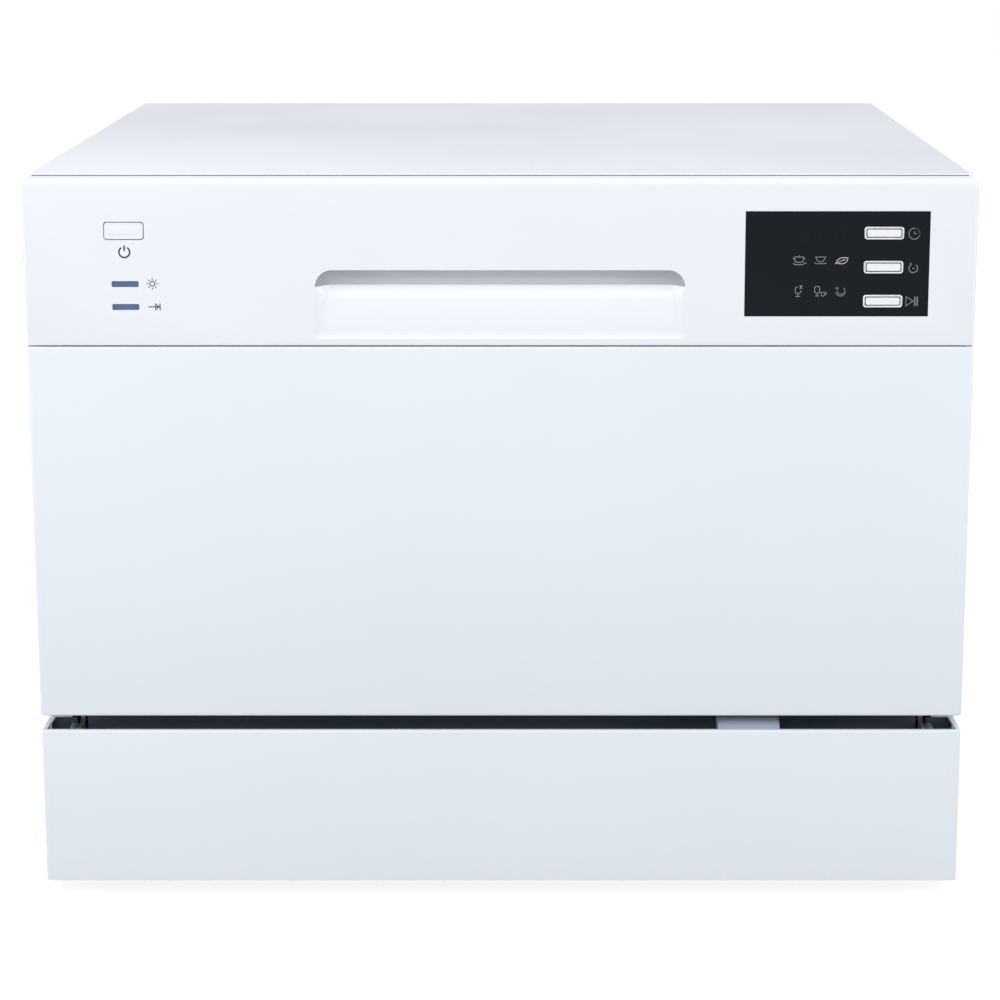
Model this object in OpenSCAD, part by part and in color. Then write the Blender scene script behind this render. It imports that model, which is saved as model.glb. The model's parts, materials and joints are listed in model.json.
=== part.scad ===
// Countertop dishwasher with a drop-down door, a rolling dish rack and a rotating spray arm.
// Millimetres. +Z is up, the door faces -Y, and the origin is on the worktop under the
// middle of the machine.

/* [Overall] */
// Width across the door and the side panels
machine_w = 550; // [530:1:570]
// Depth from the programme keys to the tips of the hose connectors
machine_d = 500; // [490:1:520]
// Height from the worktop to the top cover
machine_h = 438; // [432:1:452]
// Thickness of the painted steel sheets
sheet_t = 1; // [0.8:0.1:1.4]
// Thickness of the moulded plastic shells
shell_t = 2.5; // [2:0.1:3]
// Gap left between pieces that seat on each other
fit_gap = 0.3; // [0.2:0.05:0.4]
// Radial clearance of pins and shafts that turn
run_gap = 0.06; // [0.02:0.01:0.1]
// Outer corner radius of the painted panels
panel_r = 2.5; // [1.5:0.5:3]

/* [Plinth, feet and base] */
// Height of the feet under the base tray
foot_h = 12; // [10:1:16]
// Radius of a foot's rubber pad
foot_r = 17; // [14:1:20]
// Radius of a foot's screw stem
foot_stem_r = 5; // [4:0.5:6]
// Distance of each foot's centre from the outer faces
foot_inset = 62; // [56:1:70]
// Height of the plinth panel
plinth_h = 95; // [92:1:99]
// Depth of the plinth's side returns
plinth_return = 26; // [22:1:30]
// Width of the folded hem on the plinth's top edge
plinth_hem = 4; // [3:0.5:5]
// Wall thickness of the base tray
tray_t = 3; // [2.5:0.5:4]
// Height of the stiffening ribs on the tray floor
tray_rib_h = 9; // [6:1:12]

/* [Door] */
// Open gap between the plinth and the door
door_gap = 9; // [8:0.5:10]
// Thickness of the door at its inner flange
door_t = 36; // [34:1:38]
// Rise of the inner door's raised field into the tub
field_rise = 8; // [6:0.5:9]
// Distance of the hinge axis behind the door face
hinge_back = 16; // [15:0.5:17]
// Distance of the hinge axis below the door's lower edge
hinge_drop = 20.5; // [20:0.5:22]
// Radius of the hinge pin
hinge_pin_r = 4; // [3:0.5:5]
// Thickness of the hinge arms and brackets
hinge_t = 3; // [2:0.5:3.5]
// Angle that the door opens through
door_swing = 90; // [80:1:90]

/* [Console] */
// Height of the control console
console_h = 97; // [96:1:101]
// Seam between the console and the door panel
console_seam = 1; // [0.6:0.1:1.6]
// Depth of the console's top edge
console_top_d = 21; // [19:1:23]
// Radius of the console's rounded outer edges
console_r = 4; // [3:0.5:5]
// Width of the handle recess
handle_w = 214; // [190:2:230]
// Height of the handle recess
handle_h = 40; // [36:1:42]
// Height of the handle recess above the console's lower edge
handle_z = 4; // [3:0.5:6]
// Corner radius of the handle recess
handle_r = 10; // [8:1:12]
// Depth of the finger pocket behind the console face
handle_d = 26; // [22:1:28]
// Width of the display window
window_w = 106; // [98:1:112]
// Height of the display window
window_h = 61; // [56:1:64]
// Distance of the window's centre to the right of the middle
window_x = 194.3; // [188:0.1:198]
// Distance of the window's centre below the top cover
window_drop = 49.4; // [46:0.1:52]
// Width of a programme button with its frame
key_w = 22.7; // [20:0.1:25]
// Height of a programme button with its frame
key_h = 7.4; // [6.6:0.1:8.4]
// Vertical pitch of the programme buttons
key_pitch = 19.8; // [17:0.1:21]
// Distance of the programme buttons to the right of the window's centre
key_x = 26.7; // [22:0.1:30]
// Width of the power button
power_w = 22.4; // [18:0.1:26]
// Height of the power button
power_h = 9.6; // [8:0.1:12]
// Distance of the power button to the left of the middle
power_x = 216.3; // [200:0.1:222]
// Distance of the power button below the top cover
power_drop = 30.2; // [26:0.1:34]
// Gap round the power button
power_gap = 0.5; // [0.3:0.05:0.7]
// Travel of the push buttons
button_travel = 1.5; // [1:0.1:2]
// Width of an indicator lens
lens_w = 15.4; // [12:0.1:18]
// Height of an indicator lens
lens_h = 3.3; // [2.6:0.1:4]
// Drop of the first indicator lens below the top cover
lens_drop = 61.1; // [56:0.1:64]
// Vertical pitch of the two indicator lenses
lens_pitch = 13.4; // [11:0.1:15]

/* [Tub] */
// Width of the space between the tub and each side panel
side_space = 32; // [31:0.5:36]
// Height of the space between the tub and the top cover
top_space = 32; // [31:1:36]
// Depth of the space between the tub and the back panel
rear_space = 38; // [36:1:42]
// Corner radius of the tub's ceiling
tub_r = 18; // [12:1:24]
// Width of the wheel ledges along the tub floor
ledge_w = 38; // [34:1:42]
// Height of the wheel ledges above the tub floor
ledge_h = 6; // [4:0.5:7]
// Width of the tub's front flange
flange_w = 9; // [8:0.5:9.5]
// Gap between the inner door and the tub flange, filled by the gasket
seal_gap = 2.2; // [1.8:0.1:2.6]
// Depth of the sill in front of the tub flange
sill_d = 18; // [14:1:20]

/* [Water works] */
// Radius of the sump opening in the tub floor
sump_r = 95; // [88:1:100]
// Radius of the filter cup
cup_r = 30; // [26:1:32]
// Depth of the filter cup
cup_h = 52; // [44:1:56]
// Length of the spray arm from its axis to a tip
arm_r = 186; // [170:1:190]
// Width of the spray arm at its tips
arm_tip_w = 26; // [20:1:30]
// Thickness of the spray arm's blades
arm_t = 9; // [7:0.5:10]
// Radius of the spray arm's hub
arm_hub_r = 24; // [20:1:28]
// Radius of the fixed spindle that carries the spray arm
spindle_r = 9; // [7:0.5:10]
// Number of water jets on each half of the spray arm
arm_jets = 6; // [4:1:8]
// Radius of the wash pump's motor
motor_r = 32; // [28:1:34]
// Length of the wash pump's motor
motor_l = 84; // [70:1:90]
// Radius of the water inlet's threaded spigot
inlet_r = 13.2; // [12:0.1:14]
// Radius of the drain spigot
drain_r = 10; // [9:0.5:11]
// Length of the hose connectors outside the back panel
connector_reach = 14; // [12:1:16]

/* [Dish rack] */
// Radius of the rack's wires
wire_r = 1.5; // [1.3:0.1:1.7]
// Radius of the rack's rim wire
rim_r = 2.2; // [1.9:0.1:2.5]
// Height of the rack from its floor wires to its rim
rack_h = 112; // [100:1:120]
// Gap between the rack and the raised field of the inner door
rack_front_gap = 12; // [11:1:16]
// Spacing of the rack's floor wires across the machine
grid_pitch_x = 50; // [46:1:54]
// Number of wires running across the rack
grid_rows = 9; // [7:1:10]
// Height of the plate tines
tine_h = 62; // [50:1:70]
// Spacing of the plate tines
tine_pitch = 26; // [24:1:32]
// Radius of the rack's wheels
wheel_r = 13; // [12:0.5:14]
// Width of the rack's wheels
wheel_w = 8; // [6:0.5:9]
// Reach of the folding cup shelf across the rack
shelf_reach = 100; // [80:1:110]
// Length of the folding cup shelf
shelf_l = 290; // [250:2:310]
// Width of the cutlery basket
cutlery_w = 70; // [60:1:74]
// Length of the cutlery basket
cutlery_l = 200; // [180:1:220]
// Height of the cutlery basket's walls
cutlery_h = 112; // [100:1:120]

/* [Detergent dispenser] */
// Width of the dispenser
dispenser_w = 164; // [150:1:176]
// Height of the dispenser
dispenser_h = 104; // [96:1:110]
// Depth of the detergent chamber
chamber_d = 22; // [18:1:23]
// Travel of the detergent lid
lid_travel = 46; // [40:1:48]
// Radius of the rinse aid cap
cap_r = 15; // [13:0.5:16]

/* [Hidden] */
$fn = 48;
eps = 0.01;
half_w = machine_w / 2;
key_proud = 0.9;
front_y = -machine_d / 2 + key_proud;
rear_y = machine_d / 2;
back_y = rear_y - connector_reach;
plinth_top = foot_h + plinth_h;
door_z0 = plinth_top + door_gap;
console_z0 = machine_h - console_h;
door_z1 = console_z0 - console_seam;
hinge_y = front_y + hinge_back;
hinge_z = door_z0 - hinge_drop;

// Inner door: flange plane, raised field and outline
inner_y = front_y + door_t;
field_y = inner_y + field_rise;
cover_skirt = 14;
cover_front_y = front_y + console_top_d + fit_gap + 0.7;
inner_half = half_w - 13;
inner_z0 = hinge_z + 31;
inner_z1 = machine_h - cover_skirt - 4;

// Tub: the wheel ledges are level with the inner door's field when the door lies open
tub_half = half_w - sheet_t - side_space;
tub_y0 = inner_y + seal_gap;
tub_y1 = back_y - rear_space;
tub_mid_y = (tub_y0 + tub_y1) / 2;
ledge_z = hinge_z + field_y - hinge_y;
floor_z = ledge_z - ledge_h;
tub_top = machine_h - top_space;
tub_t = 1;
field_half = tub_half - 6;
field_z0 = ledge_z + 6;
field_z1 = tub_top - 8;

// Side cavity, where the hinge arms and springs are
side_front_y = front_y + plinth_return + 1;
arm_x = tub_half + flange_w + 2 + fit_gap;
lever_r = 30;
lever_tip = lever_r * [cos(45), -sin(45)];
spring_x = arm_x + hinge_t / 2;
spring_r = 6;
spring_wire = 0.9;
spring_turns = 12;
spring_y = hinge_y + lever_tip[0];
spring_z1 = hinge_z + lever_tip[1] - 0.6;
spring_z0 = foot_h + tray_t + 3.5;

// Water works
cup_x = 46;
cup_y = tub_mid_y - 30;
well_r = cup_r + shell_t + 3;
plate_z = floor_z - tub_t - 1.5;
cup_top = plate_z + 4;
cup_z0 = cup_top - cup_h;
pump_z = foot_h + tray_t + motor_r + 6;
well_z0 = pump_z - 14;
volute_r = motor_r + 3;
volute_l = 26;
volute_y = tub_mid_y + 62;
motor_y = volute_y + volute_l;
outlet_z = plate_z - 34;
spindle_base_r = spindle_r + 5;
arm_z0 = ledge_z + 4;
nut_z = arm_z0 + arm_t + 3 + fit_gap;
drain_pump_x = -58;
drain_pump_z = pump_z - 4;
inlet_x = 75 - half_w;
drain_x = inlet_x + 70;
connector_z = foot_h + 40;
gland_x = half_w - 85;
vent_y = tub_mid_y + 90;
vent_z = tub_top - 110;

// Rack
rack_half = tub_half - wheel_w - 8;
rack_y0 = field_y + rack_front_gap;
rack_y1 = tub_y1 - 10;
axle_z = ledge_z + fit_gap + wheel_r;
rack_z0 = nut_z + 10;
rack_z1 = rack_z0 + rack_h;
rim_bend = 18;
floor_bend = 9;
weld = 0.4;
wire_in = rim_r + wire_r - weld * 2;
cross_lift = 2 * wire_r - weld;
axle_r = 3;
wheel_x = rack_half + wheel_w / 2 + 2.6;
rail_z = rack_z0 + floor_bend;
shelf_x = rack_half - 10;
shelf_z = rack_z1 + 12;
shelf_wire = 2;
eyelet_y = 98;
shelf_rungs = 10;
cutlery_x = -(rack_half - wire_in - wire_r - 4) + cutlery_w / 2;
cutlery_y0 = rack_y0 + wire_in + wire_r + 5;
cutlery_z0 = rack_z0 + cross_lift + wire_r + fit_gap;
cutlery_t = 2;

// Door furniture
handle_z0 = console_z0 + handle_z;
handle_z1 = handle_z0 + handle_h;
window_z = machine_h - window_drop;
key_cx = window_x + key_x;
key_corner = 1.6;
window_t = 2.4;
dispenser_x = -30;
dispenser_z = (field_z0 + field_z1) / 2 - 30;
dispenser_lip = 5;
chamber_x = dispenser_x - dispenser_w / 2 + 54;
chamber_w = 84;
chamber_h = dispenser_h - 40;
chamber_z = dispenser_z - dispenser_h / 2 + 14 + chamber_h / 2;
cap_x = dispenser_x + dispenser_w / 2 - cap_r - 14;
cap_z = dispenser_z + 12;
dispenser_face = field_y + 3;
lid_t = 2;
duct_x = 148.5;
duct_w = 37;
latch_w = 46;

white_paint = "#EEF1F7";
white_plastic = "#F3F6FC";
dark_plastic = "#2A2D33";
steel = "#C3C7CB";
zinc = "#A9ADB1";
grey_plastic = "#B9BDC6";
rubber = "#3C3F44";
wire_grey = "#C6CCD4";

// ---------- shared shapes ----------

// Points of an arc, for outlines
function arc(cx, cy, r, a0, a1, n = 6) =
  [for (i = [0:n]) let (a = a0 + (a1 - a0) * i / n) [cx + r * cos(a), cy + r * sin(a)]];

// A rectangle from corner to corner with its own radius at each corner, counter-clockwise
// from the lower left
function soft_rect(x0, y0, x1, y1, r, n = 6) = concat(
  r[0] > 0 ? arc(x0 + r[0], y0 + r[0], r[0], 180, 270, n) : [[x0, y0]],
  r[1] > 0 ? arc(x1 - r[1], y0 + r[1], r[1], 270, 360, n) : [[x1, y0]],
  r[2] > 0 ? arc(x1 - r[2], y1 - r[2], r[2], 0, 90, n) : [[x1, y1]],
  r[3] > 0 ? arc(x0 + r[3], y1 - r[3], r[3], 90, 180, n) : [[x0, y1]]);

function soft_box(w, h, r, n = 6) = soft_rect(-w / 2, -h / 2, w / 2, h / 2, [r, r, r, r], n);

// Extrudes an X-Z outline from y0 to y1
module along_y(y0, y1) {
  translate([0, y1, 0]) rotate([90, 0, 0]) linear_extrude(y1 - y0) children();
}

// Extrudes a Y-Z outline from x0 to x1
module along_x(x0, x1) {
  translate([x0, 0, 0]) rotate([90, 0, 90]) linear_extrude(x1 - x0) children();
}

// Extrudes an X-Y outline from z0 to z1
module along_z(z0, z1) {
  translate([0, 0, z0]) linear_extrude(z1 - z0) children();
}

module block(low, high) {
  translate(low) cube(high - low);
}

// A bar along each axis, from a start point: round, or eight-sided for the rack's wires
$flats = false;

module disc(r) {
  if ($flats) rotate(22.5) circle(r / cos(22.5), $fn = 8);
  else circle(r);
}

module rod(l, r) {
  if ($flats) linear_extrude(l) disc(r);
  else cylinder(r = r, h = l);
}

module bar_x(p, l, r) {
  translate(p) rotate([0, 90, 0]) rod(l, r);
}

module bar_y(p, l, r) {
  translate(p) rotate([-90, 0, 0]) rod(l, r);
}

module bar_z(p, l, r) {
  translate(p) rod(l, r);
}

module both_sides() {
  children();
  mirror([1, 0, 0]) children();
}

// A quarter bend of a round bar, centred on its bend centre, from +X round to +Y
module bend(bend_r, r) {
  rotate_extrude(angle = 90) translate([bend_r, 0]) disc(r);
}

// A closed wire loop lying flat, with rounded corners
module wire_loop(x0, y0, x1, y1, bend_r, r) {
  for (y = [y0, y1]) bar_x([x0 + bend_r, y, 0], x1 - x0 - 2 * bend_r, r);
  for (x = [x0, x1]) bar_y([x, y0 + bend_r, 0], y1 - y0 - 2 * bend_r, r);
  translate([x1 - bend_r, y1 - bend_r, 0]) bend(bend_r, r);
  translate([x0 + bend_r, y1 - bend_r, 0]) rotate(90) bend(bend_r, r);
  translate([x0 + bend_r, y0 + bend_r, 0]) rotate(180) bend(bend_r, r);
  translate([x1 - bend_r, y0 + bend_r, 0]) rotate(270) bend(bend_r, r);
}

// A U of wire in the X-Z plane: up the left side, across the floor and up the right side
module wire_u(half, h, bend_r, r) {
  bar_x([-half + bend_r, 0, 0], 2 * (half - bend_r), r);
  for (side = [-1, 1]) bar_z([side * half, 0, bend_r], h - bend_r, r);
  translate([half - bend_r, 0, bend_r]) rotate([90, 0, 0]) rotate(270) bend(bend_r, r);
  translate([bend_r - half, 0, bend_r]) rotate([90, 0, 0]) rotate(180) bend(bend_r, r);
}

// ---------- base, plinth and feet ----------

// U-shaped outline of the plinth, open to the rear
module plinth_outline(grow, depth) {
  polygon(soft_rect(-half_w + grow, front_y + grow, half_w - grow, front_y + depth,
    [panel_r, panel_r, 0, 0]));
}

module plinth() {
  color(white_paint) difference() {
    along_z(foot_h, plinth_top) plinth_outline(0, plinth_return);
    along_z(foot_h + sheet_t, plinth_top - sheet_t)
      plinth_outline(sheet_t, plinth_return + 1);
    along_z(plinth_top - 2 * sheet_t, plinth_top + 1)
      plinth_outline(plinth_hem, plinth_return + 1);
    along_z(foot_h - 1, foot_h + 2 * sheet_t)
      plinth_outline(2.5 * plinth_hem, plinth_return + 1);
  }
}

tray_half = half_w - sheet_t - fit_gap;
tray_y0 = front_y + sheet_t + fit_gap;
tray_top = plinth_top - 8;
tray_z0 = foot_h + sheet_t + fit_gap;
tray_floor = tray_z0 + tray_t;
foot_xs = [-half_w + foot_inset, half_w - foot_inset];
foot_ys = [front_y + foot_inset, back_y - foot_inset];
boss_r = foot_stem_r + 5;
boss_h = 18;
post_r = 8;

module tray_shell() {
  difference() {
    along_z(tray_z0, tray_top - 20) polygon(soft_rect(-tray_half, tray_y0, tray_half,
      back_y - sheet_t - fit_gap, [panel_r + 1, panel_r + 1, 0, 0], 4));
    block([-tray_half + tray_t, tray_y0 + tray_t, tray_floor],
      [tray_half - tray_t, back_y - sheet_t - fit_gap - tray_t, tray_top]);
  }
}

// Ledge behind the plinth that closes the view into the base
module front_ledge() {
  difference() {
    block([-tub_half + 6, tray_y0, tray_floor - eps], [tub_half - 6, hinge_y + 14, tray_top]);
    block([-tub_half + 6 + tray_t, tray_y0 + tray_t, tray_z0],
      [tub_half - 6 - tray_t, hinge_y + 14 - tray_t, tray_top - tray_t]);
    block([duct_x - duct_w / 2 - fit_gap, hinge_y - 16, hinge_z - 16],
      [duct_x + duct_w / 2 + fit_gap, hinge_y + 16, tray_top + 1]);
  }
  difference() {
    block([-tub_half + 6, hinge_y + 14 - tray_t, tray_top - eps],
      [tub_half - 6, hinge_y + 14, ledge_z - 12]);
    block([duct_x - duct_w / 2 - fit_gap, hinge_y, hinge_z - 16],
      [duct_x + duct_w / 2 + fit_gap, hinge_y + 16, ledge_z]);
  }
}

module tray_ribs() {
  for (x = [-180, -125, 125, 180])
    block([x - 1.2, hinge_y + 12, tray_floor - eps],
      [x + 1.2, back_y - 6, tray_floor + tray_rib_h]);
  for (y = [-120, 0, 120]) difference() {
    block([-tray_half + 1, y - 1.2, tray_floor - eps],
      [tray_half - 1, y + 1.2, tray_floor + tray_rib_h]);
    bar_y([cup_x, motor_y, pump_z], motor_l, motor_r + 2.5);
  }
}

// Saddle blocks under the wash pump's motor
module pump_saddles() {
  for (y = [motor_y + 14, motor_y + motor_l - 22]) difference() {
    block([cup_x - 24, y, tray_floor - eps], [cup_x + 24, y + 8, pump_z - 10]);
    bar_y([cup_x, y - 1, pump_z], 10, motor_r + fit_gap);
  }
}

module base_tray() {
  color(dark_plastic) difference() {
    union() {
      tray_shell();
      front_ledge();
      tray_ribs();
      pump_saddles();
      for (x = foot_xs, y = foot_ys) bar_z([x, y, tray_z0], boss_h, boss_r);
      for (x = [-1, 1], y = [tub_y0 + 50, tub_y1 - 40])
        bar_z([x * (tub_half - ledge_w / 2), y, tray_floor - eps],
          ledge_z - tub_t - tray_floor + eps, post_r);
      for (x = [-spring_x, spring_x]) bar_z([x, spring_y, tray_floor - eps], 7, 5);
    }
    for (x = [-spring_x, spring_x]) bar_z([x, spring_y, spring_z0 - 1.5], 20, spring_wire + fit_gap);
    for (x = foot_xs, y = foot_ys)
      bar_z([x, y, tray_z0 - 1], boss_h - 2, foot_stem_r + run_gap);
    for (i = [-5:5])
      block([i * 14 - 70 - 3, back_y - 10, tray_floor + 14],
        [i * 14 - 70 + 3, back_y + 1, tray_floor + 30]);
    bar_y([inlet_x, back_y - 12, connector_z], 20, inlet_r + 8);
    bar_y([drain_x, back_y - 12, connector_z], 20, drain_r + 8);
    bar_y([gland_x, back_y - 12, connector_z], 20, 12);
  }
}

module feet() {
  for (x = foot_xs, y = foot_ys) translate([x, y, 0]) color(rubber) {
    rotate_extrude() polygon(concat([[0, 0], [foot_r - 1, 0]],
      arc(foot_r - 2, 2, 2, 0, 90, 4),
      [[foot_r - 4, 0.55 * foot_h], [foot_r - 6, 0.8 * foot_h], [0, 0.8 * foot_h]]));
    bar_z([0, 0, 0.7 * foot_h], tray_z0 + boss_h - 5 - 0.7 * foot_h, foot_stem_r);
    bar_z([0, 0, 0.7 * foot_h], 0.3 * foot_h, foot_stem_r + 4);
  }
}

// ---------- outer panels ----------

side_top = machine_h - cover_skirt - fit_gap;

module side_panel() {
  union() {
    block([half_w - sheet_t, side_front_y, foot_h], [half_w, back_y - sheet_t, side_top]);
    block([half_w - 9, side_front_y, tray_top - 20 + fit_gap],
      [half_w, side_front_y + sheet_t, side_top]);
    block([half_w - 14, side_front_y + 1, side_top - sheet_t],
      [half_w, back_y - sheet_t, side_top]);
    block([half_w - 12, back_y - 2 * sheet_t - fit_gap, foot_h + 70],
      [half_w, back_y - sheet_t - fit_gap, side_top]);
  }
}

module right_side_panel() {
  color(white_paint) side_panel();
}

module left_side_panel() {
  color(white_paint) mirror([1, 0, 0]) side_panel();
}

module cover_outline(grow) {
  polygon(soft_rect(-half_w + grow, cover_front_y + grow, half_w - grow, back_y - grow,
    [panel_r, panel_r, panel_r, panel_r]));
}

module top_cover() {
  color(white_paint) difference() {
    along_z(machine_h - cover_skirt, machine_h) cover_outline(0);
    along_z(machine_h - cover_skirt - 1, machine_h - sheet_t) cover_outline(sheet_t);
    for (x = [-1, 1]) bar_y([x * (half_w - 70), back_y - 4, machine_h - 8], 6, 2.2);
  }
}

// Rows of louvre slots that let the base breathe
module louvres(x, z) {
  for (i = [0:5]) block([x + i * 11, back_y - 3, z], [x + i * 11 + 4, back_y + 1, z + 26]);
}

back_half = half_w - sheet_t - fit_gap;
back_z1 = machine_h - cover_skirt - fit_gap;

module back_panel() {
  color(zinc) difference() {
    union() {
      block([-half_w, back_y - sheet_t, foot_h], [half_w, back_y, back_z1]);
      for (x = [-1, 0, 1])
        block([x * 150 - 36, back_y - sheet_t - 3, 150],
          [x * 150 + 36, back_y - eps, machine_h - 60]);
    }
    for (x = [-1, 0, 1])
      block([x * 150 - 35, back_y - sheet_t - 2, 151],
        [x * 150 + 35, back_y + 1, machine_h - 61]);
    bar_y([inlet_x, back_y - 3, connector_z], 6, inlet_r + 4 + fit_gap);
    bar_y([drain_x, back_y - 3, connector_z], 6, drain_r + 4 + fit_gap);
    bar_y([gland_x, back_y - 3, connector_z], 6, 8 + fit_gap);
    louvres(-40, 60);
    louvres(60, 60);
    for (z = screw_zs, x = [-1, 1])
      bar_y([x * (half_w - 7), back_y - 2, z], 4, 2.1);
  }
}

module screw(r, l) {
  bar_z([0, 0, -l], l, r);
  difference() {
    rotate_extrude() polygon([[0, 0], [2.1 * r, 0], [1.9 * r, 0.6 * r], [1.2 * r, 1.1 * r], [0, 1.2 * r]]);
    for (a = [0, 90]) rotate(a) translate([0, 0, r]) cube([2.2 * r, 0.4 * r, 1.2 * r], center = true);
  }
}

screw_zs = [for (k = [0:2]) plinth_top + 23 + k * (machine_h - plinth_top - 91) / 2];

module panel_screws() {
  color(steel) {
    for (z = screw_zs, x = [-1, 1])
      translate([x * (half_w - 7), back_y, z]) rotate([-90, 0, 0]) screw(1.9, sheet_t + 0.2);
    for (x = [-1, 1])
      translate([x * (half_w - 70), back_y, machine_h - 8]) rotate([-90, 0, 0])
        screw(1.9, sheet_t + 0.2);
  }
}

// ---------- tub and seals ----------

// Inner section of the tub, grown by g for its outer face
module tub_section(g) {
  x = tub_half + g;
  s = tub_half - ledge_w;
  polygon(concat(
    arc(s - 4 + g, floor_z + 4 - g, 4, 270, 330, 3),
    arc(s + 6 + g, ledge_z - 4 - g, 4, 150, 90, 3),
    arc(x - 6, ledge_z + 6 - g, 6, 270, 360, 4),
    arc(x - tub_r, tub_top - tub_r + g, tub_r, 0, 90, 8),
    arc(tub_r - x, tub_top - tub_r + g, tub_r, 90, 180, 8),
    arc(6 - x, ledge_z + 6 - g, 6, 180, 270, 4),
    arc(-s - 6 - g, ledge_z - 4 - g, 4, 90, 30, 3),
    arc(4 - s - g, floor_z + 4 - g, 4, 210, 270, 3)));
}

module tub() {
  hole_z = floor_z - tub_t - 2;
  dam_d = 12;
  color(steel) difference() {
    union() {
      along_y(tub_y0, tub_y1 + tub_t) tub_section(tub_t);
      along_y(tub_y0, tub_y0 + tub_t)
        polygon(soft_rect(-tub_half - flange_w, ledge_z - 9, tub_half + flange_w,
          tub_top + flange_w, [3, 3, tub_r, tub_r]));
      block([-tub_half + 2, tub_y0 - sill_d, ledge_z - tub_t], [tub_half - 2, tub_y0 + eps, ledge_z]);
      block([-tub_half + 2, tub_y0 - sill_d, ledge_z - 5],
        [tub_half - 2, tub_y0 - sill_d + tub_t, ledge_z]);
    }
    along_y(tub_y0 + dam_d, tub_y1) tub_section(0);
    along_y(tub_y0 - 1, tub_y0 + dam_d + eps) intersection() {
      tub_section(0);
      translate([-half_w, ledge_z]) square([machine_w, machine_h]);
    }
    block([-tub_half + ledge_w + 8, tub_y0 - 1, floor_z - 4],
      [tub_half - ledge_w - 8, tub_y0 + dam_d - tub_t, ledge_z - tub_t]);
    bar_z([0, tub_mid_y, hole_z], 6, sump_r);
    bar_x([-tub_half - 3, vent_y, vent_z], 6, 26);
    bar_z([150, tub_y0 + 44, hole_z], 6, 7);
  }
}

module seal_ring(g) {
  polygon(soft_rect(-tub_half - g, ledge_z + 1, tub_half + g, tub_top + g,
    [1, 1, tub_r + g, tub_r + g]));
}

module door_gasket() {
  color(rubber) {
    difference() {
      along_y(tub_y0 - seal_gap + fit_gap, tub_y0) seal_ring(flange_w - 2);
      along_y(tub_y0 - seal_gap - 1, tub_y0 + 1) translate([0, -2]) seal_ring(1);
      block([-tub_half - 1, tub_y0 - 4, ledge_z - 10], [tub_half + 1, tub_y0 + 2, ledge_z + 2]);
    }
  }
}

// ---------- sump, filters and spray arm ----------

module sump() {
  dish_z = plate_z - 16;
  color(dark_plastic) difference() {
    union() {
      translate([0, tub_mid_y, 0]) rotate_extrude() polygon([
        [0, dish_z - shell_t], [sump_r - 30, dish_z - shell_t],
        [sump_r - 4, plate_z - 6], [sump_r + 8, plate_z - 6],
        [sump_r + 8, floor_z - tub_t], [sump_r - 1, floor_z - tub_t],
        [sump_r - 1, plate_z], [sump_r - 5, plate_z],
        [sump_r - 5 - shell_t, plate_z - 3], [sump_r - 32, dish_z], [0, dish_z]]);
      bar_z([cup_x, cup_y, well_z0], dish_z - well_z0, well_r);
      bar_z([0, tub_mid_y, outlet_z - 14], dish_z - outlet_z + 14 + 8, spindle_base_r + 3);
      bar_y([cup_x, cup_y + well_r - 4, pump_z], volute_y - fit_gap - (cup_y + well_r - 4), 13);
      bar_y([0, tub_mid_y, outlet_z], volute_y + 12 - tub_mid_y, 11);
      bar_x([drain_pump_x + fit_gap, cup_y, drain_pump_z], cup_x - well_r + 4 - drain_pump_x, 11);
    }
    bar_z([cup_x, cup_y, well_z0 + shell_t], 80, well_r - shell_t);
    bar_z([0, tub_mid_y, outlet_z - 9], 60, spindle_base_r + fit_gap);
    bar_y([cup_x, cup_y + well_r - 8, pump_z], volute_y + 1 - (cup_y + well_r - 8), 11);
    bar_y([0, tub_mid_y, outlet_z], volute_y + 13 - tub_mid_y, 9);
    bar_x([drain_pump_x - 1, cup_y, drain_pump_z], cup_x - well_r + 8 - drain_pump_x, 9);
  }
}

// Perforated plate over the sump, with rings of holes
module main_filter() {
  color(steel) difference() {
    bar_z([0, tub_mid_y, plate_z + 0.1], 1, sump_r - 1.5);
    bar_z([0, tub_mid_y, plate_z - 1], 4, spindle_base_r + fit_gap);
    bar_z([cup_x, cup_y, plate_z - 1], 4, cup_r + 0.8);
    for (ring = [0:3], k = [0:17 + 4 * ring]) let (
      r = 38 + 14 * ring,
      a = 360 * k / (18 + 4 * ring) + 5 * ring,
      x = r * cos(a),
      y = tub_mid_y + r * sin(a))
      if (norm([x - cup_x, y - cup_y]) > cup_r + 6)
        bar_z([x, y, plate_z - 1], 4, 2.4);
  }
}

// Bow-shaped grip across the top of the filter cup
module cup_bow() {
  along_y(-3, 3) polygon(concat(
    arc(0, cup_top - cup_r, cup_r + 1.2, 60, 120, 8),
    arc(0, cup_top - cup_r, cup_r - 2.6, 120, 60, 8)));
  for (s = [-1, 1])
    block([s * (cup_r - 8) - 7, -3, cup_top - 6], [s * (cup_r - 8) + 7, 3, cup_top - 2.6]);
}

// Lift-out cup with windows, and the fine mesh moulded round it
module filter_cup() {
  color(grey_plastic) {
    difference() {
      union() {
        bar_z([cup_x, cup_y, cup_z0], cup_h, cup_r);
        bar_z([cup_x, cup_y, cup_top - 2.5], 2.5, cup_r + 3);
      }
      bar_z([cup_x, cup_y, cup_z0 + 3], cup_h, cup_r - 2.2);
      for (a = [0:45:315]) translate([cup_x, cup_y, 0]) rotate(a)
        block([cup_r - 6, -7, cup_z0 + 8], [cup_r + 2, 7, cup_top - 8]);
    }
    translate([cup_x, cup_y, 0]) cup_bow();
    difference() {
      bar_z([cup_x, cup_y, cup_z0 + 4], cup_h - 9, cup_r + 0.5);
      bar_z([cup_x, cup_y, cup_z0 + 3], cup_h, cup_r - 0.3);
    }
  }
}

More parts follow.
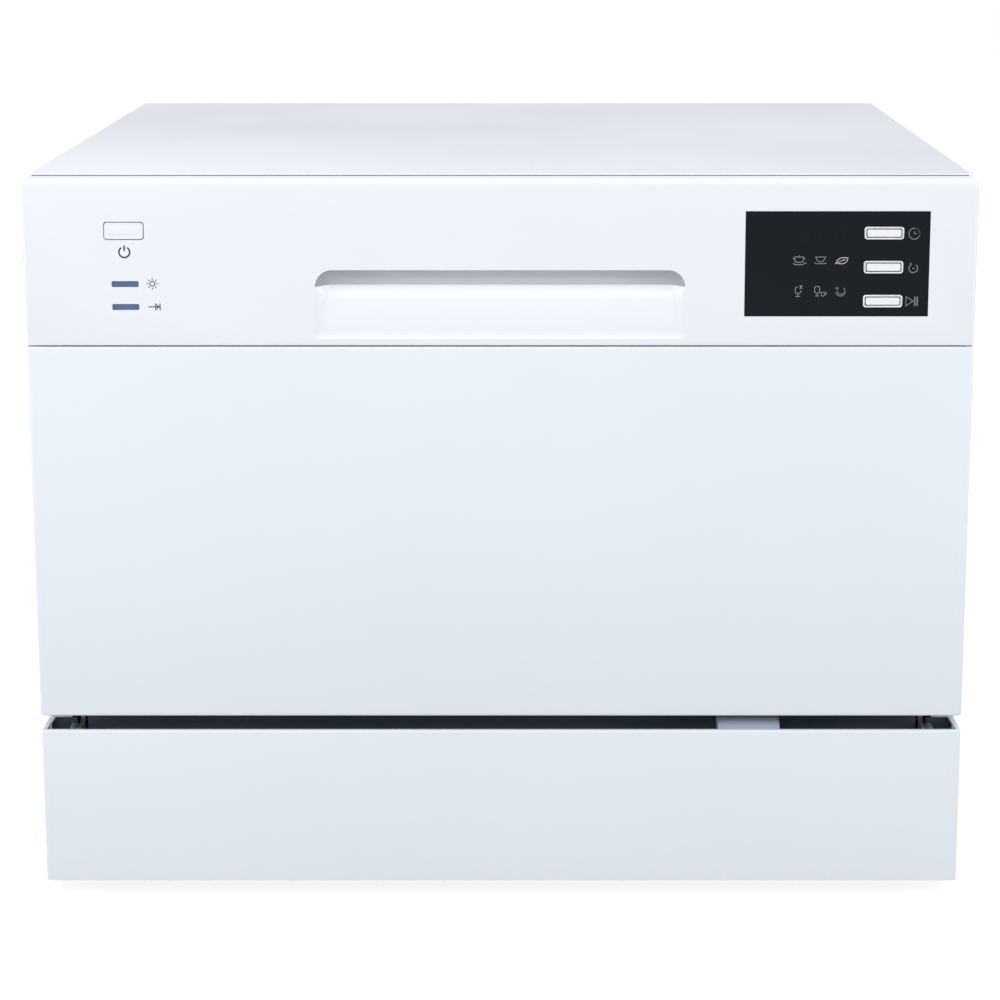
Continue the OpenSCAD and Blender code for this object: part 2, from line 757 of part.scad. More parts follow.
module spray_spindle() {
  color(grey_plastic) difference() {
    union() {
      bar_z([0, tub_mid_y, outlet_z - 9 + fit_gap], arm_z0 - fit_gap - outlet_z + 9 - fit_gap,
        spindle_base_r);
      bar_z([0, tub_mid_y, outlet_z], nut_z + 5 - outlet_z, spindle_r);
    }
    bar_z([0, tub_mid_y, outlet_z - 4], nut_z - outlet_z, spindle_r - 3);
    bar_y([0, tub_mid_y, outlet_z], spindle_base_r + 1, 8);
    for (a = [0, 90]) translate([0, tub_mid_y, arm_z0 + arm_t / 2]) rotate([90, 0, a])
      cylinder(r = 2.5, h = 60, center = true);
  }
}

// Outline of one spray arm blade: wide at the hub, swept slightly and round at its tip
module blade_outline() {
  tip = arm_tip_w / 2;
  root = arm_hub_r * 0.9;
  polygon(concat(
    [[0, -root]],
    [for (i = [1:8]) let (x = (arm_r - tip) * i / 8)
      [x, 9 * sin(180 * i / 8) - root + (root - tip) * i / 8]],
    arc(arm_r - tip, 0, tip, -75, 75, 8),
    [for (i = [8:-1:1]) let (x = (arm_r - tip) * i / 8)
      [x, 9 * sin(180 * i / 8) + root - (root - tip) * i / 8]],
    [[0, root]]));
}

module spray_arm() {
  color(grey_plastic) translate([0, tub_mid_y, arm_z0]) difference() {
    union() {
      for (a = [0, 180]) rotate(a) {
        linear_extrude(arm_t - 2.5) blade_outline();
        translate([0, 0, 1]) linear_extrude(arm_t - 1) intersection() {
          blade_outline();
          translate([0, -1.5]) scale([0.97, 0.72]) blade_outline();
        }
      }
      cylinder(r = arm_hub_r, h = arm_t + 3);
    }
    translate([0, 0, -1]) cylinder(r = spindle_r + run_gap, h = arm_t + 6);
    translate([0, 0, 2.5]) cylinder(r = arm_hub_r - 5, h = arm_t - 4.5);
    for (a = [0, 180], k = [1:arm_jets]) rotate(a)
      translate([arm_hub_r + 8 + (arm_r - arm_hub_r - 22) * k / arm_jets,
        7 * sin(160 * k / arm_jets), arm_t - 4]) rotate(35)
        cube([7, 2, 12], center = true);
  }
}

module spray_arm_nut() {
  color(grey_plastic) translate([0, tub_mid_y, nut_z]) difference() {
    union() {
      cylinder(r = spindle_r + 7, h = 3);
      cylinder(r = spindle_r + 4, h = 6.4);
      for (a = [0:30:330]) rotate(a) translate([spindle_r + 4, 0, 0]) cylinder(r = 1.3, h = 6.4);
    }
    translate([0, 0, -1]) cylinder(r = spindle_r + fit_gap, h = 6 + fit_gap);
  }
}

// ---------- pumps and plumbing ----------

module wash_pump() {
  ox = 0;
  color(dark_plastic) difference() {
    union() {
      bar_y([cup_x, volute_y, pump_z], volute_l, volute_r);
      bar_y([cup_x, motor_y - eps, pump_z], motor_l - 6, motor_r);
      bar_y([cup_x, motor_y + motor_l - 10, pump_z], 10, motor_r - 6);
      translate([0, 0, pump_z]) for (a = [-120:60:120])
        translate([cup_x, 0, 0]) rotate([0, a, 0])
          block([-2, motor_y + 6, motor_r - 2], [2, motor_y + motor_l - 12, motor_r + 1.8]);
      block([ox - 9, volute_y + 5, outlet_z - 13],
        [cup_x - 20, volute_y + volute_l - 4, outlet_z + 13]);
      bar_y([ox, volute_y + 5, outlet_z], volute_l - 9, 15);
      block([cup_x - 22, motor_y + 20, pump_z + motor_r - 4],
        [cup_x + 22, motor_y + 56, pump_z + motor_r + 6]);
    }
    bar_y([cup_x, volute_y + 3, pump_z], volute_l - 6, volute_r - 4);
    bar_y([cup_x, volute_y - 1, pump_z], 6, 13 + fit_gap);
    bar_y([cup_x, motor_y - 6, pump_z], 30, 4 + run_gap);
    bar_y([ox, volute_y + 4, outlet_z], 12, 11 + fit_gap);
    bar_x([ox, volute_y + 15, outlet_z], cup_x - 8, 7);
  }
}

module pump_impeller() {
  color(grey_plastic) translate([cup_x, volute_y + 8, pump_z]) rotate([-90, 0, 0]) {
    cylinder(r = volute_r - 9, h = 2.5);
    cylinder(r = 9, h = 10);
    cylinder(r = 4, h = motor_y - volute_y + 16);
    for (a = [0:60:300]) rotate(a)
      block([6, -1, 2], [volute_r - 11, 1, 9]);
  }
}

module drain_pump() {
  color(dark_plastic) difference() {
    union() {
      bar_x([drain_pump_x - 24, cup_y, drain_pump_z], 24, 26);
      block([drain_pump_x - 60, cup_y - 19, drain_pump_z - 19],
        [drain_pump_x - 24 + eps, cup_y + 19, drain_pump_z + 19]);
      bar_y([drain_pump_x - 12, cup_y + 10, drain_pump_z], 28, 9);
      block([drain_pump_x - 50, cup_y - 16, tray_floor], [drain_pump_x - 30, cup_y - 8, drain_pump_z - 18]);
      block([drain_pump_x - 50, cup_y + 8, tray_floor], [drain_pump_x - 30, cup_y + 16, drain_pump_z - 18]);
    }
    bar_x([drain_pump_x - 20, cup_y, drain_pump_z], 21, 22);
    bar_y([drain_pump_x - 12, cup_y, drain_pump_z], 40, 7);
  }
}

// The drain hose runs back from the drain pump, across and out to the drain spigot
hose_r = 11;
hose_bore = 9.3;
hose_bend = 24;
hose_y0 = cup_y + 28;
hose_turn_y = back_y - 60;

module hose_run(r) {
  sx = drain_pump_x - 12;
  dx = drain_x;
  bar_y([sx, hose_y0, drain_pump_z], hose_turn_y - hose_bend - hose_y0, r);
  translate([sx - hose_bend, hose_turn_y - hose_bend, drain_pump_z]) bend(hose_bend, r);
  bar_x([dx + hose_bend, hose_turn_y, drain_pump_z], sx - dx - 2 * hose_bend, r);
  translate([dx + hose_bend, hose_turn_y + hose_bend, drain_pump_z]) rotate(180) bend(hose_bend, r);
  bar_y([dx, hose_turn_y + hose_bend, drain_pump_z], back_y - 24 - hose_turn_y - hose_bend, r);
}

module drain_hose() {
  difference() {
    hose_run(hose_r);
    hose_run(hose_bore);
  }
}

module drain_outlet() {
  color(grey_plastic) difference() {
    union() {
      bar_y([drain_x, back_y, connector_z], connector_reach, drain_r);
      bar_y([drain_x, back_y - 4, connector_z], 4, drain_r + 4);
      bar_y([drain_x, back_y - 8, connector_z], 4 + eps, drain_r + 7);
      block([drain_x - 9, back_y - 22, min(connector_z, drain_pump_z) - 9],
        [drain_x + 9, back_y - 7, max(connector_z, drain_pump_z) + 9]);
      bar_y([drain_x, back_y - 32, drain_pump_z], 12, 9);
    }
    bar_y([drain_x, back_y - 16, connector_z], 40, drain_r - 2.5);
    bar_y([drain_x, back_y - 40, drain_pump_z], 26, 7);
  }
}

module inlet_valve() {
  color("#E4E4DF") difference() {
    union() {
      bar_y([inlet_x, back_y, connector_z], connector_reach, inlet_r);
      bar_y([inlet_x, back_y - 5, connector_z], 5, inlet_r + 4);
      bar_y([inlet_x, back_y - 30, connector_z], 26, inlet_r + 1);
      bar_y([inlet_x, back_y - 9, connector_z], 4 + eps, inlet_r + 7);
      bar_z([inlet_x, back_y - 22, connector_z - 30], 20, 9);
      block([inlet_x - 14, back_y - 36, connector_z + 10],
        [inlet_x + 14, back_y - 10, connector_z + 38]);
      bar_x([inlet_x - 40, back_y - 24, connector_z], 40, 6);
    }
    bar_y([inlet_x, back_y - 20, connector_z], 60, inlet_r - 3);
    bar_x([inlet_x - 41, back_y - 24, connector_z], 30, 4);
  }
}

// The fill hose carries fresh water from the valve to the air break
fill_x = -half_w + 14;

module fill_hose() {
  fr = 7.5;
  fb = 18;
  x1 = inlet_x - 30;
  y = back_y - 24;
  difference() {
    union() {
      bar_x([fill_x + fb, y, connector_z], x1 - fill_x - fb, fr);
      translate([fill_x + fb, y, connector_z + fb]) rotate([90, 0, 0]) rotate(180) bend(fb, fr);
      bar_z([fill_x, y, connector_z + fb], 120, fr);
    }
    bar_x([x1 - 12, y, connector_z], 40, 6.2);
  }
}

module inner_hoses() {
  color(rubber) {
    drain_hose();
    fill_hose();
  }
}

// Vented nut that holds the air break from inside the tub
module vent_nut() {
  color(grey_plastic) translate([fit_gap - tub_half, vent_y, vent_z]) difference() {
    union() {
      bar_x([0, 0, 0], 3, 33);
      bar_x([0, 0, 0], 8, 27);
    }
    bar_x([-1, 0, 0], 6, 22);
    for (k = [-3:3]) block([0, -16 + abs(k) * 2, k * 6 - 1.4], [12, 16 - abs(k) * 2, k * 6 + 1.4]);
  }
}

// Flat moulded chamber beside the tub that stops dirty water flowing back to the tap
module air_break() {
  x0 = -half_w + sheet_t + 4;
  x1 = -tub_half - tub_t - 4;
  y0 = tub_mid_y + 20;
  y1 = back_y - 14;
  z0 = connector_z + 138 + fit_gap;
  z1 = tub_top - 30;
  cell = (y1 - y0 - 3) / 5;
  color("#DCE3E6") difference() {
    union() {
      along_x(x0, x1) polygon(soft_rect(y0, z0, y1, z1, [14, 8, 14, 14], 4));
      bar_x([x1 - 1, vent_y, vent_z], 4 + 1 + tub_t, 25);
    }
    for (k = [0:4])
      along_x(x0 - 1, x1 - shell_t) polygon(soft_rect(y0 + 3 + k * cell, z0 + 3,
        y0 + (k + 1) * cell, z1 - 3 - (k % 2) * 16, [5, 5, 5, 5], 3));
    bar_x([x1 - 20, vent_y, vent_z], 40, 17);
  }
  vent_nut();
}

module cord_gland() {
  color(rubber) translate([gland_x, back_y, connector_z]) rotate([-90, 0, 0]) difference() {
    union() {
      translate([0, 0, -sheet_t - 4]) cylinder(r = 10, h = 4);
      translate([0, 0, -sheet_t - 1]) cylinder(r = 8, h = sheet_t + 2);
      translate([0, 0, fit_gap]) cylinder(r = 11, h = 3);
      translate([0, 0, 3]) cylinder(r1 = 7.5, r2 = 6, h = 9);
    }
    translate([0, 0, -10]) cylinder(r = 3.6, h = 30);
  }
}

// ---------- float and electrics ----------

float_x = 150;
float_y = tub_y0 + 44;

module float() {
  color(white_plastic) {
    translate([float_x, float_y, floor_z + fit_gap]) rotate_extrude() difference() {
      polygon(concat([[0, 0], [17, 0]], arc(13, 6, 4, 0, 90, 4), [[0, 12]]));
      translate([5, -1]) square([9, 9]);
    }
    bar_z([float_x, float_y, floor_z - 26], 28, 4);
  }
}

module float_switch() {
  z1 = floor_z - tub_t;
  color(dark_plastic) difference() {
    union() {
      bar_z([float_x, float_y, z1 - 6], 6, 12);
      bar_z([float_x, float_y, z1 - 20], 16, 7);
      bar_z([float_x, float_y, z1], tub_t, 6.7);
      block([float_x + 6, float_y - 9, z1 - 44], [float_x + 24, float_y + 9, z1 - 14]);
      block([float_x + 5, float_y - 4, z1 - 20], [float_x + 24, float_y + 4, z1 - 2]);
    }
    bar_z([float_x, float_y, z1 - 30], 40, 4 + run_gap);
  }
}

module control_box() {
  x0 = half_w - 163;
  y0 = tub_mid_y - 134;
  color(grey_plastic) difference() {
    union() {
      along_z(tray_floor + tray_rib_h, tray_floor + tray_rib_h + 34) translate([x0, y0])
        polygon(soft_rect(0, 0, 72, 150, [5, 5, 5, 5], 4));
      along_z(tray_floor + tray_rib_h + 28, tray_floor + tray_rib_h + 31) translate([x0, y0])
        polygon(soft_rect(-2, -2, 74, 152, [6, 6, 6, 6], 4));
      for (k = [0:4]) block([x0 + 12 + k * 11, y0 + 10, tray_floor + tray_rib_h + 33],
        [x0 + 16 + k * 11, y0 + 140, tray_floor + tray_rib_h + 36]);
    }
    for (k = [0:2]) block([x0 - 3, y0 + 20 + k * 40, tray_floor + tray_rib_h + 6],
      [x0 + 10, y0 + 46 + k * 40, tray_floor + tray_rib_h + 20]);
    block([x0 + shell_t, y0 + shell_t, tray_floor + tray_rib_h - 1],
      [x0 + 72 - shell_t, y0 + 150 - shell_t, tray_floor + tray_rib_h + 34 - shell_t]);
  }
}

// Knuckle-shaped duct that leads the door's wiring past the hinge line
module harness_duct() {
  r = 15;
  x0 = duct_x - duct_w / 2;
  color(grey_plastic) difference() {
    union() {
      bar_x([x0, hinge_y, hinge_z], duct_w, r);
      block([x0, hinge_y - 8, tray_floor], [x0 + duct_w, hinge_y + 8, hinge_z]);
    }
    block([x0 + 2, hinge_y - 6, tray_floor - 1], [x0 + duct_w - 2, hinge_y + 6, hinge_z]);
    bar_x([x0 + 2, hinge_y, hinge_z], duct_w - 4, r - 2);
    block([x0 + 8, hinge_y, hinge_z + 2], [x0 + duct_w - 8, hinge_y + 20, hinge_z + 7]);
  }
}

// ---------- hinges ----------

bracket_x = arm_x + hinge_t + fit_gap;

// Bracket on the tray that carries the hinge pin
module hinge_bracket() {
  difference() {
    along_x(bracket_x, bracket_x + hinge_t) polygon([
      [hinge_y - 11, tray_floor], [hinge_y + 11, tray_floor], [hinge_y + 11, hinge_z + 2],
      [hinge_y + 8, hinge_z + 8], [hinge_y + 3, hinge_z + 10], [hinge_y - 3, hinge_z + 10],
      [hinge_y - 8, hinge_z + 8], [hinge_y - 11, hinge_z + 2]]);
    bar_x([bracket_x - 1, hinge_y, tray_floor + 24], 10, 5);
  }
  block([bracket_x, hinge_y - 11, tray_floor], [bracket_x + 12, hinge_y + 11, tray_floor + hinge_t]);
  bar_x([arm_x - 2.6, hinge_y, hinge_z], bracket_x + 1 - arm_x + 2.6, hinge_pin_r);
  bar_x([arm_x - 2.6, hinge_y, hinge_z], 2.2, hinge_pin_r + 2);
}

module hinge_brackets() {
  color(zinc) both_sides() hinge_bracket();
}

// Goose-neck arm: from the pivot it passes behind the plinth's hem and up into the door,
// and its lever reaches back to the spring
arm_back = door_t - hinge_back - tub_t - fit_gap - 0.1;

module arm_outline() {
  top = inner_z0 + 84 - hinge_z;
  circle(9);
  translate(lever_tip) circle(5);
  rotate(-45) translate([0, -4]) square([lever_r, 8]);
  polygon([[2, -4], [arm_back - 5, -2], [arm_back, 6], [arm_back, top], [4, top],
    [4, hinge_drop + 5], [arm_back - 5, hinge_drop + 2], [arm_back - 5, 9.5], [5, 5]]);
}

module hinge_arm() {
  difference() {
    along_x(arm_x, arm_x + hinge_t) translate([hinge_y, hinge_z]) arm_outline();
    bar_x([arm_x - 1, hinge_y, hinge_z], hinge_t + 2, hinge_pin_r + run_gap);
    bar_x([arm_x - 1, hinge_y + lever_tip[0], hinge_z + lever_tip[1]], hinge_t + 2, 2);
    for (z = [40, 80])
      bar_x([arm_x - 1, hinge_y + 10, hinge_z + z], hinge_t + 2, 2.6);
  }
}

module hinge_arms() {
  color(zinc) both_sides() hinge_arm();
}

// The spring's centre line, relative to its axis: up from the tray's eye, out to the coil,
// round it, in again beside the arm and across through the lever's hole
coil_z0 = spring_z0 + 11;
coil_z1 = spring_z1 - 9;
side_step = hinge_t / 2 + spring_wire + 0.5;
coil_n = 8 * spring_turns;
function coil_point(i) = let (t = i / coil_n) [spring_r * cos(45 * i), spring_r * sin(45 * i),
  coil_z0 + (coil_z1 - coil_z0) * t];
spring_path = concat(
  [[0, 0, spring_z0], [0, 0, coil_z0 - 5], [0.7, -0.5, coil_z0 - 3.4],
  [1.5, -3, coil_z0 - 2.1], [4, -3.9, coil_z0 - 0.9]],
  [for (i = [0:coil_n]) coil_point(i)],
  [[5.2, 2.2, coil_z1 + 1], [3.8, 2.8, coil_z1 + 2.2], [side_step, 1.4, coil_z1 + 4],
  [side_step, 0, coil_z1 + 5.6], [side_step, 0, spring_z1 - 1.6],
  [side_step - 0.5, 0, spring_z1 - 0.5], [side_step - 1.5, 0, spring_z1],
  [-side_step, 0, spring_z1]]);

function unit(v) = v / norm(v);
function tangent(p, i) = unit(unit(p[min(i + 1, len(p) - 1)] - p[max(i, 0)] + [0, 0, 1e-6])
  + unit(p[i] - p[max(i - 1, 0)] + [0, 0, 1e-6]));
// Directions across the wire, carried along so that the tube doesn't twist
function across(p, i, last) = let (t = tangent(p, i)) unit(last - (last * t) * t);
function frames(p, i, last) = i >= len(p) ? [] :
  let (u = across(p, i, last)) concat([u], frames(p, i + 1, u));

module tube_along(p, r, sides) {
  us = frames(p, 0, [1, 0, 0]);
  points = [for (i = [0:len(p) - 1]) let (u = us[i], v = cross(tangent(p, i), u))
    for (k = [0:sides - 1]) p[i] + r * (cos(360 * k / sides) * u + sin(360 * k / sides) * v)];
  polyhedron(points, concat(
    [[for (k = [sides - 1:-1:0]) k]],
    [[for (k = [0:sides - 1]) (len(p) - 1) * sides + k]],
    [for (i = [0:len(p) - 2], k = [0:sides - 1]) let (a = i * sides, n = (k + 1) % sides)
      [a + k, a + n, a + sides + n, a + sides + k]]));
}

module door_springs() {
  color(steel) both_sides() translate([spring_x, spring_y, 0])
    tube_along(spring_path, spring_wire, 6);
}

// ---------- door ----------

module door_outline(grow, depth) {
  polygon(soft_rect(-half_w + grow, front_y + grow, half_w - grow, front_y + depth,
    [panel_r, panel_r, 0, 0]));
}

door_side_d = plinth_return - 1;
door_hem = 12;

// Painted steel outer pan, folded on all four sides
module door_panel() {
  color(white_paint) both_sides()
    block([inner_half + fit_gap, front_y + door_side_d - sheet_t, door_z0],
      [half_w, front_y + door_side_d, door_z1]);
  color(white_paint) difference() {
    along_z(door_z0, door_z1) door_outline(0, door_side_d);
    along_z(door_z0 + sheet_t, door_z1 - sheet_t) door_outline(sheet_t, door_side_d + 1);
    along_z(door_z1 - 2 * sheet_t, door_z1 + 1) door_outline(door_hem, door_side_d + 1);
    block([-half_w - 1, hinge_y + 2, door_z0 - 1], [half_w + 1, front_y + 60, door_z0 + 2 * sheet_t]);
  }
}

// Side profile of the console, grown inwards by g
module console_profile(g) {
  polygon(soft_rect(front_y + g, console_z0 + g, front_y + console_top_d - g, machine_h - g,
    [1, 0, 1, console_r], 6));
}

module console_front(g) {
  polygon(soft_rect(-half_w + g, console_z0 + g, half_w - g, machine_h - g,
    [1, 1, console_r, console_r], 6));
}

module handle_outline(g) {
  polygon(soft_rect(-handle_w / 2 + g, handle_z0 + g, handle_w / 2 - g, handle_z1 - g,
    [3, 3, handle_r, handle_r], 6));
}

module console() {
  color(white_plastic)
    block([-half_w + door_hem + fit_gap, front_y + door_hem + fit_gap, console_z0 - 12],
      [half_w - door_hem - fit_gap, front_y + door_hem + fit_gap + shell_t, console_z0 + 1]);
  color(white_plastic) difference() {
    intersection() {
      along_x(-half_w, half_w) console_profile(0);
      along_y(front_y, front_y + console_top_d) console_front(0);
    }
    intersection() {
      along_x(-half_w + shell_t, half_w - shell_t) polygon(soft_rect(front_y + shell_t,
        console_z0 + shell_t, front_y + console_top_d + 1, machine_h - shell_t, [1, 0, 0, 2], 4));
      along_y(front_y, front_y + console_top_d + 1) console_front(shell_t);
    }
    along_y(front_y - 1, front_y + shell_t + 1) handle_outline(0);
    window_cut(window_w + 2 * fit_gap, window_h + 2 * fit_gap, front_y - 1, front_y + shell_t + 1);
    along_y(front_y - 1, front_y + shell_t + 1) translate([-power_x, machine_h - power_drop])
      polygon(soft_box(power_w + 2 * power_gap, power_h + 2 * power_gap, 1.8, 4));
    for (k = [0, 1]) along_y(front_y - 1, front_y + shell_t + 1)
      translate([-power_x, machine_h - lens_drop - k * lens_pitch])
        polygon(soft_box(lens_w + 0.2, lens_h + 0.2, 0.7, 3));
  }
}

module window_cut(w, h, y0, y1) {
  along_y(y0, y1) translate([window_x, window_z]) square([w, h], center = true);
}

// Scooped finger grip: a slanted plate ends in a rolled lip, and the fingers go over the lip
// into the pocket behind it
module handle_pocket() {
  slope_d = 9;
  t = 2;
  lip_z = handle_z0 + handle_h * 0.79;
  y0 = front_y + 0.4;
  y1 = front_y + handle_d;
  w = handle_w / 2 - fit_gap;
  color(white_plastic) {
    difference() {
      along_y(y0, y1) handle_outline(fit_gap);
      along_y(y0 - 1, y1 - t) handle_outline(fit_gap + t);
    }
    along_x(1 - w, w - 1) polygon(concat(
      [[y0 + t, handle_z0 + 1], [y0, handle_z0 + 1], [y0, handle_z0 + 2]],
      [[y0 + slope_d, lip_z - 4]],
      arc(y0 + slope_d + 2, lip_z - 2, 2, 150, 0, 8),
      [[y0 + slope_d + 4, lip_z - 5], [y0 + slope_d + 2, lip_z - 5]]));
    for (s = [0, 1]) mirror([s, 0, 0]) along_z(handle_z0 + 1, lip_z) polygon([
      [w - 1, y0], [w - 1, y0 + slope_d + 4], [w - 4, y0 + slope_d + 4], [w - slope_d, y0 + slope_d],
      [w - 3, y0 + 2], [w - t, y0]]);
  }
}

// Inner pan: flange, raised field and folded edges, open for the dispenser
module inner_door() {
  fold = 12;
  color(steel) difference() {
    union() {
      along_y(inner_y - fold, inner_y) polygon(soft_rect(-inner_half, inner_z0, inner_half, inner_z1,
        [2, 2, 8, 8]));
      along_y(inner_y - eps, field_y) polygon(soft_rect(-field_half, field_z0, field_half, field_z1,
        [8, 8, 16, 16]));
    }
    along_y(inner_y - fold - 1, inner_y - tub_t) polygon(soft_rect(-inner_half + tub_t,
      inner_z0 + tub_t, inner_half - tub_t, inner_z1 - tub_t, [2, 2, 7, 7]));
    along_y(inner_y - fold - 1, field_y - tub_t) polygon(soft_rect(-field_half + tub_t,
      field_z0 + tub_t, field_half - tub_t, field_z1 - tub_t, [7, 7, 15, 15]));
    block([dispenser_x - dispenser_w / 2 - fit_gap, field_y - 4, dispenser_z - dispenser_h / 2 - fit_gap],
      [dispenser_x + dispenser_w / 2 + fit_gap, field_y + 1, dispenser_z + dispenser_h / 2 + fit_gap]);
    for (x = [-1, 1]) block([x > 0 ? arm_x - 1 : -arm_x - hinge_t - 1, inner_y - fold - 1, inner_z0 - 1],
      [x > 0 ? arm_x + hinge_t + 1 : -arm_x + 1, inner_y - tub_t, inner_z0 + 2]);
    for (p = door_screw_points) bar_y([p[0], inner_y - 4, p[1]], 8, 1.8);
  }
}

screw_x = arm_x + hinge_t + 2.2;
door_screw_points = concat(
  [for (s = [-1, 1], k = [0:3]) [s * screw_x, inner_z0 + 18 + (inner_z1 - inner_z0 - 36) * k / 3]],
  [for (s = [-1, 1]) [s * 120, inner_z1 - 3.6]]);

module door_screws() {
  color(steel) for (p = door_screw_points)
    translate([p[0], inner_y, p[1]]) rotate([-90, 0, 0]) scale([1, 1, 0.6]) screw(1.5, 12);
}

// Lock body in the console, with the slot that takes the strike
strike_z = (inner_z1 + machine_h - cover_skirt) / 2;
lock_y1 = inner_y - 15;

module door_lock() {
  y0 = front_y + shell_t + fit_gap;
  color(dark_plastic) difference() {
    union() {
      block([-latch_w / 2, y0, strike_z - 9], [latch_w / 2, lock_y1, strike_z + 11]);
      for (s = [-1, 1])
        block([s * 32 - 11, lock_y1 - 3, strike_z - 7], [s * 32 + 11, lock_y1, strike_z + 8]);
    }
    block([-7, y0 + 3, strike_z - 4.5], [7, lock_y1 + 1, strike_z + 6.5]);
    for (s = [-1, 1]) bar_y([s * 36, lock_y1 - 4, strike_z], 8, 2);
  }
}

// Strike on the tub's roof, whose tongue enters the lock
module latch_strike() {
  base_y = tub_y0 + tub_t + fit_gap;
  base_z = tub_top + tub_t;
  color(steel) difference() {
    union() {
      block([-18, base_y, base_z], [18, base_y + 26, base_z + 2]);
      block([-9, base_y + 4, base_z + 1], [9, base_y + 6, strike_z + 1]);
      block([-4, inner_y - 24, strike_z - 1], [4, base_y + 6, strike_z + 1]);
    }
    block([-2, inner_y - 22, strike_z - 2], [2, inner_y - 17, strike_z + 2]);
    for (s = [-1, 1]) bar_z([s * 12, base_y + 16, base_z - 1], 5, 2);
  }
}

// Rubber strip under the inner door that wipes the tub's sill
module door_sill_seal() {
  color(rubber) difference() {
    along_x(-tub_half + 4, tub_half - 4) polygon([
      [inner_y - 8, inner_z0 - fit_gap], [inner_y - 9, ledge_z + 1.2], [inner_y - 7.6, ledge_z + fit_gap],
      [inner_y - 6, ledge_z + 1.2], [inner_y - 2, inner_z0 - fit_gap]]);
    block([-tub_half, inner_y - 12, inner_z0 - 0.2], [tub_half, inner_y, inner_z0 + 5]);
  }
}

module key_outline(w, h, r) {
  polygon(soft_box(w, h, r, 4));
}

key_top_z = window_z + 18;
function key_z(k) = key_top_z - k * key_pitch;

module display_window() {
  color("#14161B") difference() {
    window_cut(window_w, window_h, front_y + 0.1, front_y + 0.1 + window_t);
    for (k = [0:2]) along_y(front_y - 1, front_y + 5) translate([key_cx, key_z(k)])
      key_outline(key_w + 0.1, key_h + 0.1, key_corner);
  }
}

module display_board() {
  y0 = front_y + window_t + 0.1;
  color("#1D5A36") {
    difference() {
      block([window_x - window_w / 2 + 3, y0 + 5, window_z - window_h / 2 + 2],
        [window_x + window_w / 2 - 3, y0 + 6.6, window_z + window_h / 2 - 2]);
      for (k = [0:2]) block([key_cx - 4, y0 + 4, key_z(k) - 3], [key_cx + 4, y0 + 8, key_z(k) + 3]);
    }
    block([window_x - 26, y0 + fit_gap, window_z + 12], [window_x + 6, y0 + 5 + eps, window_z + 25]);
  }
}

module key_frames() {
  color("#C9CDD3") for (k = [0:2]) along_y(front_y - 0.5, front_y + window_t)
    translate([key_cx, key_z(k)]) difference() {
      key_outline(key_w, key_h, key_corner);
      key_outline(key_w - 2.2, key_h - 2.2, key_corner - 0.8);
    }
}

// Programme key: a cap in its frame, with a stem that reaches the board
module key(k) {
  color(white_plastic) translate([key_cx, 0, key_z(k)]) {
    along_y(front_y - key_proud, front_y + 3) key_outline(key_w - 2.8, key_h - 2.8, key_corner - 0.9);
    along_y(front_y + 2.9, front_y + window_t + 5 - button_travel + 0.6 + 1.5)
      square([6, 4], center = true);
  }
}

module delay_key() {
  key(0);
}

module program_key() {
  key(1);
}

module start_key() {
  key(2);
}

module power_button() {
  color(white_plastic) translate([-power_x, 0, machine_h - power_drop]) difference() {
    union() {
      along_y(front_y - 0.3, front_y + shell_t + 2) key_outline(power_w, power_h, 1.5);
      along_y(front_y + shell_t + 0.4, front_y + shell_t + 2)
        square([power_w + 3, power_h + 3], center = true);
      along_y(front_y + shell_t + 1, front_y + 11) square([8, 5], center = true);
    }
    along_y(front_y - 1, front_y + 0.2) translate([0, -power_h * 0.12])
      key_outline(power_w - 6, power_h * 0.42, 0.6);
  }
}

module indicator_lenses() {
  color("#55618F") for (k = [0, 1])
    translate([-power_x, 0, machine_h - lens_drop - k * lens_pitch]) {
      along_y(front_y + 0.2, front_y + shell_t + 0.4) polygon(soft_box(lens_w, lens_h, 0.6, 3));
      along_y(front_y + shell_t + 0.2, front_y + shell_t + 2)
        square([lens_w + 3, lens_h + 3], center = true);
    }
}

// ---------- dispenser ----------

module dispenser() {
  face = dispenser_face;
  x0 = dispenser_x - dispenser_w / 2;
  z0 = dispenser_z - dispenser_h / 2;
  color(grey_plastic) difference() {
    union() {
      along_y(field_y, face) translate([dispenser_x, dispenser_z])
        polygon(soft_box(dispenser_w + 2 * dispenser_lip, dispenser_h + 2 * dispenser_lip, 8, 6));
      block([x0 + 2, field_y - chamber_d - 3, z0 + 2], [x0 + dispenser_w - 2, field_y + eps, z0 + dispenser_h - 2]);
    }
    along_y(field_y - chamber_d + 1, face + 1) translate([chamber_x, chamber_z])
      polygon(soft_box(chamber_w, chamber_h, 8, 5));
    block([chamber_x - chamber_w / 2 - 6, face - 2.6, chamber_z - chamber_h / 2 - 6],
      [chamber_x + chamber_w / 2 + 6, face + 1, chamber_z + chamber_h / 2 + lid_travel + 1]);
    bar_y([cap_x, field_y - chamber_d + 3, cap_z], chamber_d + 10, cap_r - 3);
    bar_y([cap_x, face - 2.4, cap_z], 10, cap_r + 1.2);
    block([chamber_x + chamber_w / 2 + 9, field_y - chamber_d, z0 + 5],
      [x0 + dispenser_w - 5, field_y - 3, z0 + dispenser_h - 5]);
    block([x0 + 5, field_y - chamber_d - 4, chamber_z + chamber_h / 2 + 3],
      [chamber_x + chamber_w / 2 + 6, field_y - 3, z0 + dispenser_h - 5]);
    bar_y([cap_x, field_y - chamber_d + 3, cap_z - 34], 60, 5.2);
    block([chamber_x - 9, face - 12, chamber_z - chamber_h / 2 - 13.6],
      [chamber_x + 9, face + 1, chamber_z - chamber_h / 2 - 7]);
  }
}

